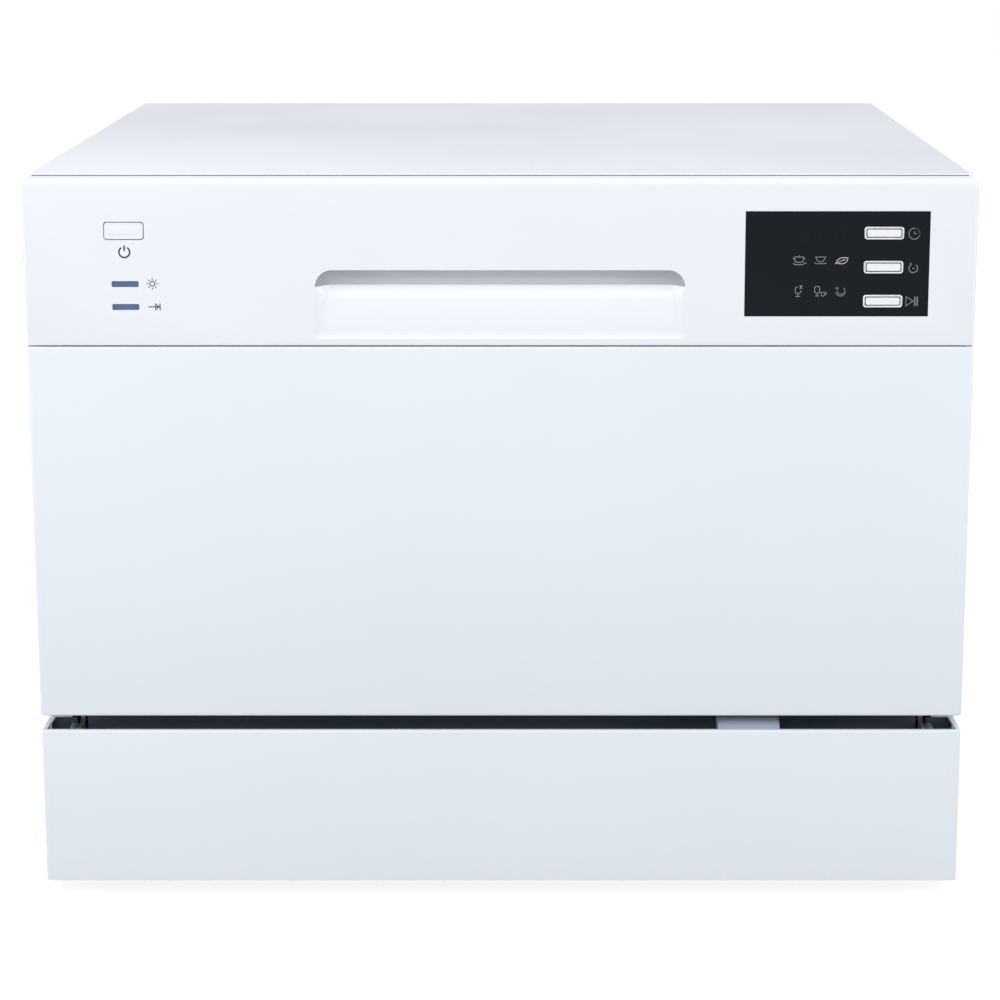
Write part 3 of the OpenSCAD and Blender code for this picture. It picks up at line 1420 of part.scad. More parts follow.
// Lid that slides up to uncover the detergent chamber
module detergent_lid() {
  face = dispenser_face;
  color(white_plastic) {
    block([chamber_x - chamber_w / 2 - 5, face - 2.2, chamber_z - chamber_h / 2 - 5],
      [chamber_x + chamber_w / 2 + 5, face - 2.2 + lid_t, chamber_z + chamber_h / 2 + 5]);
    for (k = [0:3]) block([chamber_x - 20, face - 0.3, chamber_z - chamber_h / 2 + 4 + k * 4],
      [chamber_x + 20, face + 1, chamber_z - chamber_h / 2 + 5.6 + k * 4]);
  }
}

module lid_catch() {
  face = dispenser_face;
  color("#4C6FA8") block([chamber_x - 8.6, face - 8, chamber_z - chamber_h / 2 - 13.2],
    [chamber_x + 8.6, face + 2.4, chamber_z - chamber_h / 2 - 7.4]);
}

module rinse_aid_cap() {
  face = dispenser_face;
  color("#3F4A5E") translate([cap_x, face - 2, cap_z]) rotate([-90, 0, 0]) difference() {
    union() {
      cylinder(r = cap_r, h = 3.6);
      translate([0, 0, -12]) cylinder(r = cap_r - 3.4, h = 13);
      translate([-cap_r + 3, -2, 3]) cube([2 * cap_r - 6, 4, 2.4]);
    }
    translate([0, 0, -13]) cylinder(r = cap_r - 6, h = 10);
  }
}

// ---------- dish rack ----------

rack_mid_y = (rack_y0 + rack_y1) / 2;
rack_half_y = (rack_y1 - rack_y0) / 2;
grid_ys = [for (i = [0:grid_rows - 1])
  rack_y0 + 34 + (rack_y1 - rack_y0 - 68) * i / (grid_rows - 1)];
grid_side = floor((rack_half - 14) / grid_pitch_x);
grid_xs = [for (i = [-grid_side:grid_side]) i * grid_pitch_x];
wheel_ys = [(grid_ys[0] + grid_ys[1]) / 2,
  (grid_ys[grid_rows - 2] + grid_ys[grid_rows - 1]) / 2];
tine_rows = [-2, -1, 1, 2];
tine_y0 = rack_y0 + 24;
tine_n = floor((rack_y1 - 24 - tine_y0) / tine_pitch);

module rack_grid() {
  for (y = grid_ys) translate([0, y, rack_z0])
    wire_u(rack_half - wire_in, rack_h, floor_bend, wire_r);
  for (x = grid_xs) translate([x, rack_mid_y, rack_z0 + cross_lift]) rotate(90)
    wire_u(rack_half_y - wire_in, rack_h - cross_lift, floor_bend, wire_r);
}

module rack_loops() {
  translate([0, 0, rack_z1]) wire_loop(-rack_half, rack_y0, rack_half, rack_y1, rim_bend, rim_r);
  for (z = [rail_z, rack_z0 + rack_h * 0.5]) translate([0, 0, z])
    wire_loop(-rack_half + rim_r - wire_r, rack_y0 + rim_r - wire_r, rack_half - rim_r + wire_r,
      rack_y1 - rim_r + wire_r, rim_bend, wire_r);
}

// Combs of tines that stand on the floor wires and hold the plates
module plate_tines() {
  base_z = rack_z0 + cross_lift + 2 * wire_r;
  color(wire_grey) for (row = tine_rows) {
    first = row > -2 ? 0 : ceil((cutlery_y0 + cutlery_l + 8 - tine_y0) / tine_pitch);
    x = row * grid_pitch_x;
    y0 = tine_y0 + first * tine_pitch;
    bar_y([x, y0 - 6, base_z], (tine_n - first) * tine_pitch + 12, wire_r, $flats = true);
    for (k = [first:tine_n]) bar_z([x, tine_y0 + k * tine_pitch, base_z], tine_h - 2 * wire_r,
      wire_r - 0.25, $flats = true);
  }
}

// Posts with eyelets that carry the folding shelf; each post's finger stops the shelf level
stop_z = shelf_z - shelf_wire - fit_gap - wire_r;

module shelf_eyelets() {
  x = rack_half - wire_in;
  for (y = [rack_mid_y - eyelet_y, rack_mid_y + eyelet_y]) {
    bar_z([x, y, rack_z1 - 4], stop_z - rack_z1 + 4, wire_r, $flats = true);
    bar_x([shelf_x - 32, y, stop_z], x + wire_r - shelf_x + 32, wire_r, $flats = true);
    difference() {
      bar_y([shelf_x, y - 3, shelf_z], 6, shelf_wire + 3);
      bar_y([shelf_x, y - 4, shelf_z], 8, shelf_wire + run_gap);
    }
  }
}

module dish_rack() {
  color(wire_grey) {
    rack_grid($flats = true);
    rack_loops($flats = true);
    shelf_eyelets();
  }
}

module cup_shelf() {
  y0 = rack_mid_y - shelf_l / 2;
  y1 = rack_mid_y + shelf_l / 2;
  x0 = shelf_x - shelf_reach;
  r = shelf_wire;
  color(wire_grey) {
    translate([0, 0, shelf_z]) wire_loop(x0, y0, shelf_x, y1, 10, r);
    for (k = [1:shelf_rungs])
      bar_x([x0, y0 + shelf_l * k / (shelf_rungs + 1), shelf_z + r + wire_r - weld * 3],
        shelf_reach - 5, wire_r);
    bar_y([shelf_x - 24, y0, shelf_z - 0.5], shelf_l, wire_r);
  }
}

// Basket with slotted walls, two dividers and a bow handle
module cutlery_basket() {
  x0 = cutlery_x - cutlery_w / 2;
  x1 = cutlery_x + cutlery_w / 2;
  y0 = cutlery_y0;
  y1 = cutlery_y0 + cutlery_l;
  z0 = cutlery_z0;
  z1 = cutlery_z0 + cutlery_h;
  t = cutlery_t;
  slots = 8;
  pitch = (cutlery_l - 16) / slots;
  cells = [y0, y0 + cutlery_l / 3, y0 + 2 * cutlery_l / 3, y1];
  color(grey_plastic) {
    difference() {
      along_z(z0, z1) polygon(soft_rect(x0, y0, x1, y1, [8, 8, 8, 8]));
      for (k = [0:2]) along_z(z0 + t, z1 + 1) polygon(soft_rect(x0 + t, cells[k] + (k == 0 ? t : t / 2),
        x1 - t, cells[k + 1] - (k == 2 ? t : t / 2), [5, 5, 5, 5], 4));
      for (k = [0:slots - 1], row = [0, 1])
        block([x0 - 1, y0 + 10 + k * pitch, z0 + 10 + row * (cutlery_h / 2 - 3)],
          [x1 + 1, y0 + 6 + (k + 1) * pitch, z0 + 2 + (row + 1) * (cutlery_h / 2 - 3)]);
      for (k = [0:2], row = [0, 1])
        block([x0 + 10 + k * (cutlery_w - 20) / 3, y0 - 1, z0 + 10 + row * (cutlery_h / 2 - 3)],
          [x0 + 6 + (k + 1) * (cutlery_w - 20) / 3, y1 + 1, z0 + 2 + (row + 1) * (cutlery_h / 2 - 3)]);
      for (i = [0:4], j = [0:14])
        block([x0 + 9 + i * (cutlery_w - 18) / 5, y0 + 9 + j * (cutlery_l - 18) / 15, z0 - 1],
          [x0 + 6 + (i + 1) * (cutlery_w - 18) / 5, y0 + 6 + (j + 1) * (cutlery_l - 18) / 15, z0 + t + 1]);
    }
    along_x(cutlery_x - 2.5, cutlery_x + 2.5) difference() {
      polygon(soft_rect(cells[1] - 0.5, z1 - 20, cells[2] + 0.5, z1 + 26, [0, 0, 14, 14]));
      polygon(soft_rect(cells[1] + 5.5, z1 - 21, cells[2] - 5.5, z1 + 20, [0, 0, 9, 9]));
    }
  }
}

// Clip round the rail wire, with the axle that carries a wheel
module wheel_clip(y) {
  rail_x = rack_half - rim_r + wire_r;
  x1 = wheel_x - wheel_w / 2 - fit_gap;
  difference() {
    along_y(y - 10, y + 10) polygon([
      [rail_x - wire_r - 2.2, rail_z - 3], [rail_x - wire_r - 2.2, rail_z + wire_r + 2.4],
      [rail_x + wire_r + 1, rail_z + wire_r + 2.4], [x1, rail_z],
      [x1, axle_z - 7], [x1 - 3.4, axle_z - 7], [x1 - 3.4, rail_z - 6]]);
    bar_y([rail_x, y - 11, rail_z], 22, wire_r * 1.1);
  }
  bar_x([x1 - 1, y, axle_z], 1 + wheel_w + 2 * fit_gap + 1.6, axle_r);
  bar_x([x1 + wheel_w + 2 * fit_gap, y, axle_z], 1.6, axle_r + 1.8);
}

module wheel_clips() {
  color(grey_plastic) both_sides() for (y = wheel_ys) wheel_clip(y);
}

module wheel(y) {
  w = wheel_w / 2;
  r0 = axle_r + run_gap;
  translate([wheel_x, y, axle_z]) rotate([0, 90, 0]) difference() {
    rotate_extrude() polygon(concat(
      [[r0, -w], [r0 + 2.4, -w], [r0 + 2.4, -1.6], [wheel_r - 3, -1.6], [wheel_r - 3, -w]],
      arc(wheel_r - 1.4, 1.4 - w, 1.4, 270, 360, 3),
      arc(wheel_r - 1.4, w - 1.4, 1.4, 0, 90, 3),
      [[wheel_r - 3, w], [wheel_r - 3, 1.6], [r0 + 2.4, 1.6], [r0 + 2.4, w], [r0, w]]));
    for (a = [0:60:300]) rotate(a) translate([(r0 + wheel_r) / 2, 0, 0])
      cylinder(r = 1.5, h = 20, center = true);
  }
}

module wheel_front_right() {
  color(grey_plastic) wheel(wheel_ys[0]);
}

module wheel_front_left() {
  color(grey_plastic) mirror([1, 0, 0]) wheel(wheel_ys[0]);
}

module wheel_rear_right() {
  color(grey_plastic) wheel(wheel_ys[1]);
}

module wheel_rear_left() {
  color(grey_plastic) mirror([1, 0, 0]) wheel(wheel_ys[1]);
}

base_tray();
feet();
plinth();
left_side_panel();
right_side_panel();
top_cover();
back_panel();
panel_screws();
tub();
door_gasket();
sump();
main_filter();
filter_cup();
spray_spindle();
spray_arm();
spray_arm_nut();
wash_pump();
pump_impeller();
drain_pump();
inner_hoses();
drain_outlet();
inlet_valve();
air_break();
cord_gland();
float();
float_switch();
control_box();
harness_duct();
hinge_brackets();
door_springs();
latch_strike();
door_panel();
console();
handle_pocket();
inner_door();
door_screws();
hinge_arms();
door_lock();
door_sill_seal();
display_window();
display_board();
key_frames();
delay_key();
program_key();
start_key();
power_button();
indicator_lenses();
dispenser();
detergent_lid();
lid_catch();
rinse_aid_cap();
dish_rack();
plate_tines();
cutlery_basket();
cup_shelf();
wheel_clips();
wheel_front_left();
wheel_front_right();
wheel_rear_left();
wheel_rear_right();
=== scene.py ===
import json
import bpy
import bmesh
from math import cos, radians, sin, tan
from mathutils import Matrix, Vector

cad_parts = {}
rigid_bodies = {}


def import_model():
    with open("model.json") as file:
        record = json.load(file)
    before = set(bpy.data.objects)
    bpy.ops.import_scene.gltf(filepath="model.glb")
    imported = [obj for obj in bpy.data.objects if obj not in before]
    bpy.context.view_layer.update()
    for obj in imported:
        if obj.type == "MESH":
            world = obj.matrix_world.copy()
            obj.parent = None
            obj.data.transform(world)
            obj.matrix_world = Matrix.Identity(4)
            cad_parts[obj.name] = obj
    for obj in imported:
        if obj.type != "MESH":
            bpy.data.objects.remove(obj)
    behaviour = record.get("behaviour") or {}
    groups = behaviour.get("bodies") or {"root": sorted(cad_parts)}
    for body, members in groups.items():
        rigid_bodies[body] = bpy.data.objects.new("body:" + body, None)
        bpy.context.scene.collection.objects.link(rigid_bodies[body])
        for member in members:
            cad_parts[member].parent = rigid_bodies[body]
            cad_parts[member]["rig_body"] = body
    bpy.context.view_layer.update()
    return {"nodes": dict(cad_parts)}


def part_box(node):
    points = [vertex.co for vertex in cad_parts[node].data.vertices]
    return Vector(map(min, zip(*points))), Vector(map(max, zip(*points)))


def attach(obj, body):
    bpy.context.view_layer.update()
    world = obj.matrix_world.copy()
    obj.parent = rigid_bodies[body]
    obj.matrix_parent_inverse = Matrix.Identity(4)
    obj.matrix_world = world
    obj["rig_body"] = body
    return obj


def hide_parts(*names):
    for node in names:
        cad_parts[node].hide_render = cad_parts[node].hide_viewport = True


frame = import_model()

mm = 0.001


def placeObject(name, data):
    thing = bpy.data.objects.new(name, data)
    bpy.context.scene.collection.objects.link(thing)
    return thing


cameraSetup = {
    "place": (0.0194, -1.7251, 0.6126),
    "pitch": 11.4,      # degrees below the horizon
    "sensor": 36,
    "lens": 93.18,
    "shift": (-0.0336, -0.1107),
}

cameraData = bpy.data.cameras.new("camera")
cameraData.sensor_width = cameraSetup["sensor"]
cameraData.lens = cameraSetup["lens"]
cameraData.shift_x, cameraData.shift_y = cameraSetup["shift"]
cameraObject = placeObject("camera", cameraData)
cameraObject.location = cameraSetup["place"]
cameraObject.rotation_euler = (radians(90 - cameraSetup["pitch"]), 0, 0)
bpy.context.scene.camera = cameraObject
print("camera set")


def shaderGroup(name, inputs, outputs):
    group = bpy.data.node_groups.new(name, "ShaderNodeTree")
    for label, kind, value in inputs:
        socket = group.interface.new_socket(name=label, in_out="INPUT", socket_type=kind)
        socket.default_value = value
    for label, kind in outputs:
        group.interface.new_socket(name=label, in_out="OUTPUT", socket_type=kind)
    start = group.nodes.new("NodeGroupInput")
    end = group.nodes.new("NodeGroupOutput")
    return group, start, end


def setValues(node, values):
    for key, value in values.items():
        node.inputs[key].default_value = value


def addNode(tree, kind, values=None, **settings):
    node = tree.nodes.new(kind)
    for key, value in settings.items():
        setattr(node, key, value)
    setValues(node, values or {})
    return node


def linkAll(tree, *links):
    for start, outlet, end, inlet in links:
        tree.links.new(start.outputs[outlet], end.inputs[inlet])


surfaceOutputs = [("Tone", "NodeSocketFloat"), ("Roughness", "NodeSocketFloat"), ("Normal", "NodeSocketVector")]


# the end of both groups: grain gives the bump, drift gives tone and gloss
def endSurface(group, start, end, grain, height, drift, driftOutlet, toneLow, toneHigh):
    tone = addNode(group, "ShaderNodeMapRange", {"From Min": toneLow, "From Max": toneHigh})
    gloss = addNode(group, "ShaderNodeMapRange", {"From Min": 0.3, "From Max": 0.7})
    bump = addNode(group, "ShaderNodeBump", {"Strength": 1.0})
    linkAll(group, (drift, driftOutlet, tone, "Value"), (drift, driftOutlet, gloss, "Value"),
            (start, "Gloss Low", gloss, "To Min"), (start, "Gloss High", gloss, "To Max"),
            (grain, "Fac", bump, "Height"), (start, height, bump, "Distance"),
            (tone, "Result", end, "Tone"), (gloss, "Result", end, "Roughness"), (bump, "Normal", end, "Normal"))


# fine surface grain with a slow drift of tone and gloss, for paint and mouldings
def makeSurfaceGrain():
    group, start, end = shaderGroup("surfaceGrain", [
        ("Grain Scale", "NodeSocketFloat", 900.0),
        ("Grain Height", "NodeSocketFloat", 0.00002),
        ("Drift Scale", "NodeSocketFloat", 6.0),
        ("Gloss Low", "NodeSocketFloat", 0.25),
        ("Gloss High", "NodeSocketFloat", 0.4),
    ], surfaceOutputs)
    place = addNode(group, "ShaderNodeTexCoord")
    fine = addNode(group, "ShaderNodeTexNoise", {"Detail": 3.0, "Roughness": 0.6})
    slow = addNode(group, "ShaderNodeTexNoise", {"Detail": 4.0, "Roughness": 0.55})
    linkAll(group, (place, "Object", fine, "Vector"), (place, "Object", slow, "Vector"),
            (start, "Grain Scale", fine, "Scale"), (start, "Drift Scale", slow, "Scale"))
    endSurface(group, start, end, fine, "Grain Height", slow, "Fac", 0.35, 0.65)
    return group


# fine lines left by brushing or drawing the metal, along one axis
def makeBrushedLines():
    group, start, end = shaderGroup("brushedLines", [
        ("Line Spacing", "NodeSocketVector", (20.0, 900.0, 900.0)),
        ("Line Height", "NodeSocketFloat", 0.00001),
        ("Smear Scale", "NodeSocketFloat", 9.0),
        ("Gloss Low", "NodeSocketFloat", 0.24),
        ("Gloss High", "NodeSocketFloat", 0.4),
    ], surfaceOutputs)
    place = addNode(group, "ShaderNodeTexCoord")
    stretch = addNode(group, "ShaderNodeVectorMath", operation="MULTIPLY")
    lines = addNode(group, "ShaderNodeTexNoise", {"Scale": 1.0, "Detail": 2.0, "Roughness": 0.7})
    smear = addNode(group, "ShaderNodeTexNoise", {"Detail": 3.0, "Distortion": 0.4})
    both = addNode(group, "ShaderNodeMix", {"Factor": 0.45}, data_type="FLOAT")
    linkAll(group, (place, "Object", stretch, 0), (start, "Line Spacing", stretch, 1),
            (stretch, "Vector", lines, "Vector"), (place, "Object", smear, "Vector"),
            (start, "Smear Scale", smear, "Scale"), (lines, "Fac", both, "A"), (smear, "Fac", both, "B"))
    endSurface(group, start, end, lines, "Line Height", both, "Result", 0.3, 0.7)
    return group


surfaceGrain = makeSurfaceGrain()
brushedLines = makeBrushedLines()


# light and dark are the two tones that the surface drifts between; height is in millimetres;
# with a spacing the surface is brushed metal
def surface(name, light, dark, grain=900, height=0.02, gloss=(0.3, 0.42), drift=6.0, metal=0.0,
            coat=0.0, coatGloss=0.1, spacing=None, specular=0.5):
    material = bpy.data.materials.new(name)
    material.use_nodes = True
    tree = material.node_tree
    shader = tree.nodes["Principled BSDF"]
    if spacing:
        values = {"Line Spacing": spacing, "Line Height": height * mm, "Smear Scale": drift}
    else:
        values = {"Grain Scale": grain, "Grain Height": height * mm, "Drift Scale": drift}
    values["Gloss Low"], values["Gloss High"] = gloss
    effect = addNode(tree, "ShaderNodeGroup", values, node_tree=brushedLines if spacing else surfaceGrain)
    tint = addNode(tree, "ShaderNodeMix", {"A": (*dark, 1), "B": (*light, 1)}, data_type="RGBA")
    setValues(shader, {"Metallic": metal, "Coat Weight": coat, "Coat Roughness": coatGloss,
                       "Specular IOR Level": specular})
    linkAll(tree, (effect, "Tone", tint, "Factor"), (tint, "Result", shader, "Base Color"),
            (effect, "Roughness", shader, "Roughness"), (effect, "Normal", shader, "Normal"))
    return material


enamel = {"grain": 1500, "height": 0.006, "gloss": (0.32, 0.40), "coat": 0.15, "coatGloss": 0.28}
acrylic = {"grain": 300, "height": 0.0, "gloss": (0.07, 0.10), "drift": 8, "specular": 0.12}
finishes = {
    "paint": surface("whiteEnamel", (0.832, 0.866, 0.900), (0.818, 0.853, 0.888), **enamel),
    "doorPaint": surface("doorEnamel", (0.820, 0.875, 0.935), (0.806, 0.862, 0.923), **enamel),
    "plinthPaint": surface("plinthEnamel", (0.793, 0.850, 0.893), (0.779, 0.837, 0.881), **enamel),
    "console": surface("consoleAbs", (0.866, 0.897, 0.934), (0.854, 0.886, 0.924), 2200, 0.010, (0.34, 0.42),
                       coat=0.1, coatGloss=0.3),
    "key": surface("keyAbs", (0.88, 0.90, 0.94), (0.86, 0.885, 0.925), 2600, 0.004, (0.22, 0.3)),
    "dark": surface("darkPolypropylene", (0.070, 0.090, 0.120), (0.055, 0.071, 0.096), 1300, 0.03,
                    (0.45, 0.6), drift=14),
    "steel": surface("tubStainless", (0.66, 0.67, 0.68), (0.60, 0.61, 0.625), height=0.0018,
                     gloss=(0.26, 0.34), metal=1.0, spacing=(10, 2200, 2200)),
    "doorSteel": surface("doorStainless", (0.68, 0.69, 0.70), (0.62, 0.63, 0.645), height=0.0018,
                         gloss=(0.25, 0.33), metal=1.0, spacing=(10, 2200, 2200)),
    "zinc": surface("zincCoat", (0.62, 0.64, 0.66), (0.55, 0.57, 0.60), 500, 0.006, (0.34, 0.5), drift=150,
                    metal=0.9),
    "spring": surface("springWire", (0.42, 0.43, 0.45), (0.30, 0.31, 0.33), 1200, 0.004, (0.25, 0.4),
                      drift=60, metal=1.0),
    "rubber": surface("rubber", (0.030, 0.031, 0.033), (0.020, 0.021, 0.023), 1800, 0.02, (0.55, 0.72),
                      drift=20),
    "filter": surface("filterGrey", (0.20, 0.22, 0.25), (0.16, 0.175, 0.20), 1500, 0.02, (0.38, 0.5),
                      drift=16),
    "arm": surface("armGrey", (0.42, 0.44, 0.48), (0.37, 0.39, 0.43), 1700, 0.015, (0.32, 0.44), drift=12),
    "basket": surface("basketGrey", (0.36, 0.39, 0.43), (0.31, 0.34, 0.38), 1700, 0.02, (0.34, 0.46),
                      drift=14),
    "wire": surface("nylonCoat", (0.46, 0.49, 0.54), (0.40, 0.43, 0.48), 1400, 0.02, (0.28, 0.4), drift=25,
                    coat=0.3, coatGloss=0.25),
    "dispenser": surface("dispenserGrey", (0.50, 0.52, 0.56), (0.45, 0.47, 0.51), 1800, 0.015, (0.34, 0.46),
                         drift=12),
    "lid": surface("lidWhite", (0.74, 0.75, 0.77), (0.69, 0.70, 0.72), 1800, 0.015, (0.3, 0.42), drift=18),
    "cap": surface("capBlue", (0.045, 0.070, 0.13), (0.034, 0.055, 0.105), 1800, 0.015, (0.3, 0.42),
                   drift=24),
    "catch": surface("catchBlue", (0.09, 0.20, 0.42), (0.07, 0.165, 0.36), 1800, 0.015, (0.3, 0.4), drift=30),
    "window": surface("windowAcrylic", (0.0050, 0.0072, 0.0112), (0.0040, 0.0060, 0.0096), **acrylic),
    "frame": surface("satinChrome", (0.80, 0.81, 0.83), (0.72, 0.73, 0.75), 2500, 0.003, (0.26, 0.36),
                     drift=80, metal=0.9),
    "lens": surface("lensBlue", (0.094, 0.136, 0.275), (0.082, 0.118, 0.245), 900, 0.002, (0.16, 0.24),
                    drift=120),
    "board": surface("boardLacquer", (0.012, 0.085, 0.030), (0.008, 0.060, 0.022), 900, 0.02, (0.25, 0.4),
                     drift=60),
    "duct": surface("ductGrey", (0.385, 0.430, 0.525), (0.350, 0.392, 0.480), 1500, 0.02, (0.4, 0.5),
                    drift=25),
    "ivory": surface("ivoryNylon", (0.70, 0.70, 0.66), (0.65, 0.65, 0.61), 1500, 0.02, (0.35, 0.5), drift=20),
    "clear": surface("naturalPolypropylene", (0.56, 0.62, 0.64), (0.50, 0.56, 0.58), 1200, 0.02,
                     (0.35, 0.48), drift=12),
    "print": surface("darkPrint", (0.022, 0.025, 0.030), (0.018, 0.020, 0.025), 3000, 0.0, (0.4, 0.5),
                     drift=50),
    "dimPrint": surface("dimPrint", (0.32, 0.335, 0.36), (0.27, 0.285, 0.31), 3000, 0.0, (0.4, 0.5),
                        drift=60),
    "leafPrint": surface("leafPrint", (0.74, 0.75, 0.78), (0.66, 0.67, 0.70), 3000, 0.0, (0.4, 0.5),
                         drift=60),
    "ghost": surface("ghostSegments", (0.0072, 0.0094, 0.0132), (0.0062, 0.0082, 0.0118), **acrylic),
}
print("finishes ready:", len(finishes))


def smoothShade(mesh, angle):
    mesh.polygons.foreach_set("use_smooth", [True] * len(mesh.polygons))
    mesh.set_sharp_from_angle(angle=radians(angle))


def softenEdges(piece, width, segments, angle):
    edge = piece.modifiers.new("softEdges", "BEVEL")
    edge.width = width
    edge.segments = segments
    edge.limit_method = "ANGLE"
    edge.angle_limit = radians(angle)
    edge.harden_normals = True


def bodyOf(node):
    return frame["nodes"][node]["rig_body"]


def finishPiece(name, bm, finish, body=None, nodes=(), bevel=0.0, smoothAngle=35):
    mesh = bpy.data.meshes.new(name)
    bm.normal_update()
    bm.to_mesh(mesh)
    bm.free()
    piece = placeObject(name, mesh)
    mesh.materials.append(finishes[finish])
    smoothShade(mesh, smoothAngle)
    if bevel:
        softenEdges(piece, bevel, 2, 38)
    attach(piece, body or bodyOf(nodes[0]))
    if nodes:
        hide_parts(*nodes)
    return piece


def boxMesh(low, high):
    bm = bmesh.new()
    bmesh.ops.create_cube(bm, size=1)
    low, high = Vector(low), Vector(high)
    bmesh.ops.scale(bm, vec=high - low, verts=bm.verts)
    bmesh.ops.translate(bm, vec=(low + high) / 2, verts=bm.verts)
    return bm


def inMetres(point):
    return [v * mm for v in point]


def roundEdges(bm, pick, radius, segments=5):
    edges = [e for e in bm.edges if pick(e)]
    bmesh.ops.bevel(bm, geom=edges, offset=radius, offset_type="OFFSET", affect="EDGES",
                    segments=segments, profile=0.5, material=-1, clamp_overlap=True)


def midOf(e):
    return (e.verts[0].co + e.verts[1].co) / 2


def near(a, b):
    return abs(a - b) < 0.01 * mm


def alongAxis(e, axis):
    d = (e.verts[1].co - e.verts[0].co).normalized()
    return abs(d[axis]) > 0.999


# an edge of the outline at height z, where a level face meets an upright one
def onRim(e, z):
    return (len(e.link_faces) == 2 and near(midOf(e).z, z)
            and abs(e.link_faces[0].normal.z - e.link_faces[1].normal.z) > 0.5)


def dropFaces(bm, pick):
    bmesh.ops.delete(bm, geom=[f for f in bm.faces if pick(f)], context="FACES_ONLY")


# adds one mesh to another and lets it go
def joinMesh(total, bm):
    part = bpy.data.meshes.new("part")
    bm.to_mesh(part)
    bm.free()
    total.from_mesh(part)
    bpy.data.meshes.remove(part)


# an open convex shell can't tell its outside, so each face is turned away from its middle
def faceOutwards(bm):
    bmesh.ops.remove_doubles(bm, verts=bm.verts, dist=0.001 * mm)
    bmesh.ops.recalc_face_normals(bm, faces=bm.faces)
    low = Vector([min(v.co[k] for v in bm.verts) for k in range(3)])
    high = Vector([max(v.co[k] for v in bm.verts) for k in range(3)])
    wrong = [f for f in bm.faces if (f.calc_center_median() - (low + high) / 2).dot(f.normal) < 0]
    bmesh.ops.reverse_faces(bm, faces=wrong)


# gives an open shell its wall, inwards where depth is positive; a loose edge would turn it outwards
def thicken(bm, depth):
    faceOutwards(bm)
    bmesh.ops.delete(bm, geom=[e for e in bm.edges if not e.link_faces], context="EDGES")
    bmesh.ops.solidify(bm, geom=bm.faces[:] + bm.edges[:] + bm.verts[:], thickness=depth)


# a rounded rectangle lying in the X-Z plane, pushed back along +Y
def platePrism(width, height, radius, y0, y1, cx, cz, segments=6):
    bm = boxMesh((cx - width / 2, y0, cz - height / 2), (cx + width / 2, y1, cz + height / 2))
    roundEdges(bm, lambda e: alongAxis(e, 1), radius, segments)
    return bm


def cutAway(piece, cutters):
    total = bmesh.new()
    for bm in cutters:
        bmesh.ops.recalc_face_normals(bm, faces=bm.faces)
        joinMesh(total, bm)
    joined = bpy.data.meshes.new("cutter")
    total.to_mesh(joined)
    total.free()
    cutter = placeObject("cutter", joined)
    trim = piece.modifiers.new("cut", "BOOLEAN")
    trim.operation = "DIFFERENCE"
    trim.solver = "EXACT"
    trim.object = cutter
    graph = bpy.context.evaluated_depsgraph_get()
    shaped = bpy.data.meshes.new_from_object(piece.evaluated_get(graph))
    piece.modifiers.remove(trim)
    piece.data = shaped
    bpy.data.objects.remove(cutter)


skin = {
    "sheet": 1.0 * mm,
    "corner": 2.5 * mm,          # upright corners
    "coverEdge": 1.6 * mm,
    "sideEdge": 1.8 * mm,
    "frontEdge": 1.2 * mm,       # long edges of the door panel and the plinth
    "plinthReturn": 4 * mm,      # the plinth's top edge is folded back this far
}


def makeTopCover():
    low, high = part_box("top_cover")
    bm = boxMesh(low, high)
    roundEdges(bm, lambda e: alongAxis(e, 2), skin["corner"])
    roundEdges(bm, lambda e: onRim(e, high[2]), skin["coverEdge"], 4)
    dropFaces(bm, lambda f: f.normal.z < -0.9)
    thicken(bm, skin["sheet"])
    finishPiece("topCoverSkin", bm, "paint", nodes=("top_cover",))


def makeSidePanel(node, side):
    low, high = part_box(node)
    outside = max(low[0] * side, high[0] * side)
    bm = boxMesh(low, high)
    roundEdges(bm, lambda e: alongAxis(e, 2) and near(midOf(e).x * side, outside), skin["sideEdge"], 4)
    dropFaces(bm, lambda f: f.normal.x * side < -0.9 or abs(f.normal.z) > 0.9)
    thicken(bm, skin["sheet"])
    finishPiece(node + "Skin", bm, "paint", nodes=(node,))


def makePlinth():
    low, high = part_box("plinth")
    bm = boxMesh(low, high)
    dropFaces(bm, lambda f: f.normal.y > 0.9 or f.normal.z < -0.9)
    top = [f for f in bm.faces if f.normal.z > 0.9]
    bmesh.ops.inset_region(bm, faces=top, thickness=skin["plinthReturn"], use_boundary=False)
    dropFaces(bm, lambda f: f in top)
    roundEdges(bm, lambda e: alongAxis(e, 2) and near(midOf(e).y, low[1]), skin["corner"])
    roundEdges(bm, lambda e: onRim(e, high[2]), skin["frontEdge"], 4)
    thicken(bm, skin["sheet"])
    finishPiece("plinthSkin", bm, "plinthPaint", nodes=("plinth",))


# the long edges bend round the front corners, so the level ones near the front are taken
def makeDoorPanel():
    low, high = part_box("door_panel")
    bm = boxMesh(low, high)
    roundEdges(bm, lambda e: alongAxis(e, 2) and near(midOf(e).y, low[1]), skin["corner"])
    roundEdges(bm, lambda e: near(e.verts[0].co.z, e.verts[1].co.z) and midOf(e).y < low[1] + 3 * mm
               and any(abs(f.normal.z) > 0.9 for f in e.link_faces)
               and any(abs(f.normal.z) < 0.1 for f in e.link_faces), skin["frontEdge"], 4)
    dropFaces(bm, lambda f: f.normal.y > 0.9)
    thicken(bm, skin["sheet"])
    finishPiece("doorPanelSkin", bm, "doorPaint", nodes=("door_panel",))


makeTopCover()
makeSidePanel("left_side_panel", -1)
makeSidePanel("right_side_panel", 1)
makePlinth()
makeDoorPanel()
print("outer panels made")


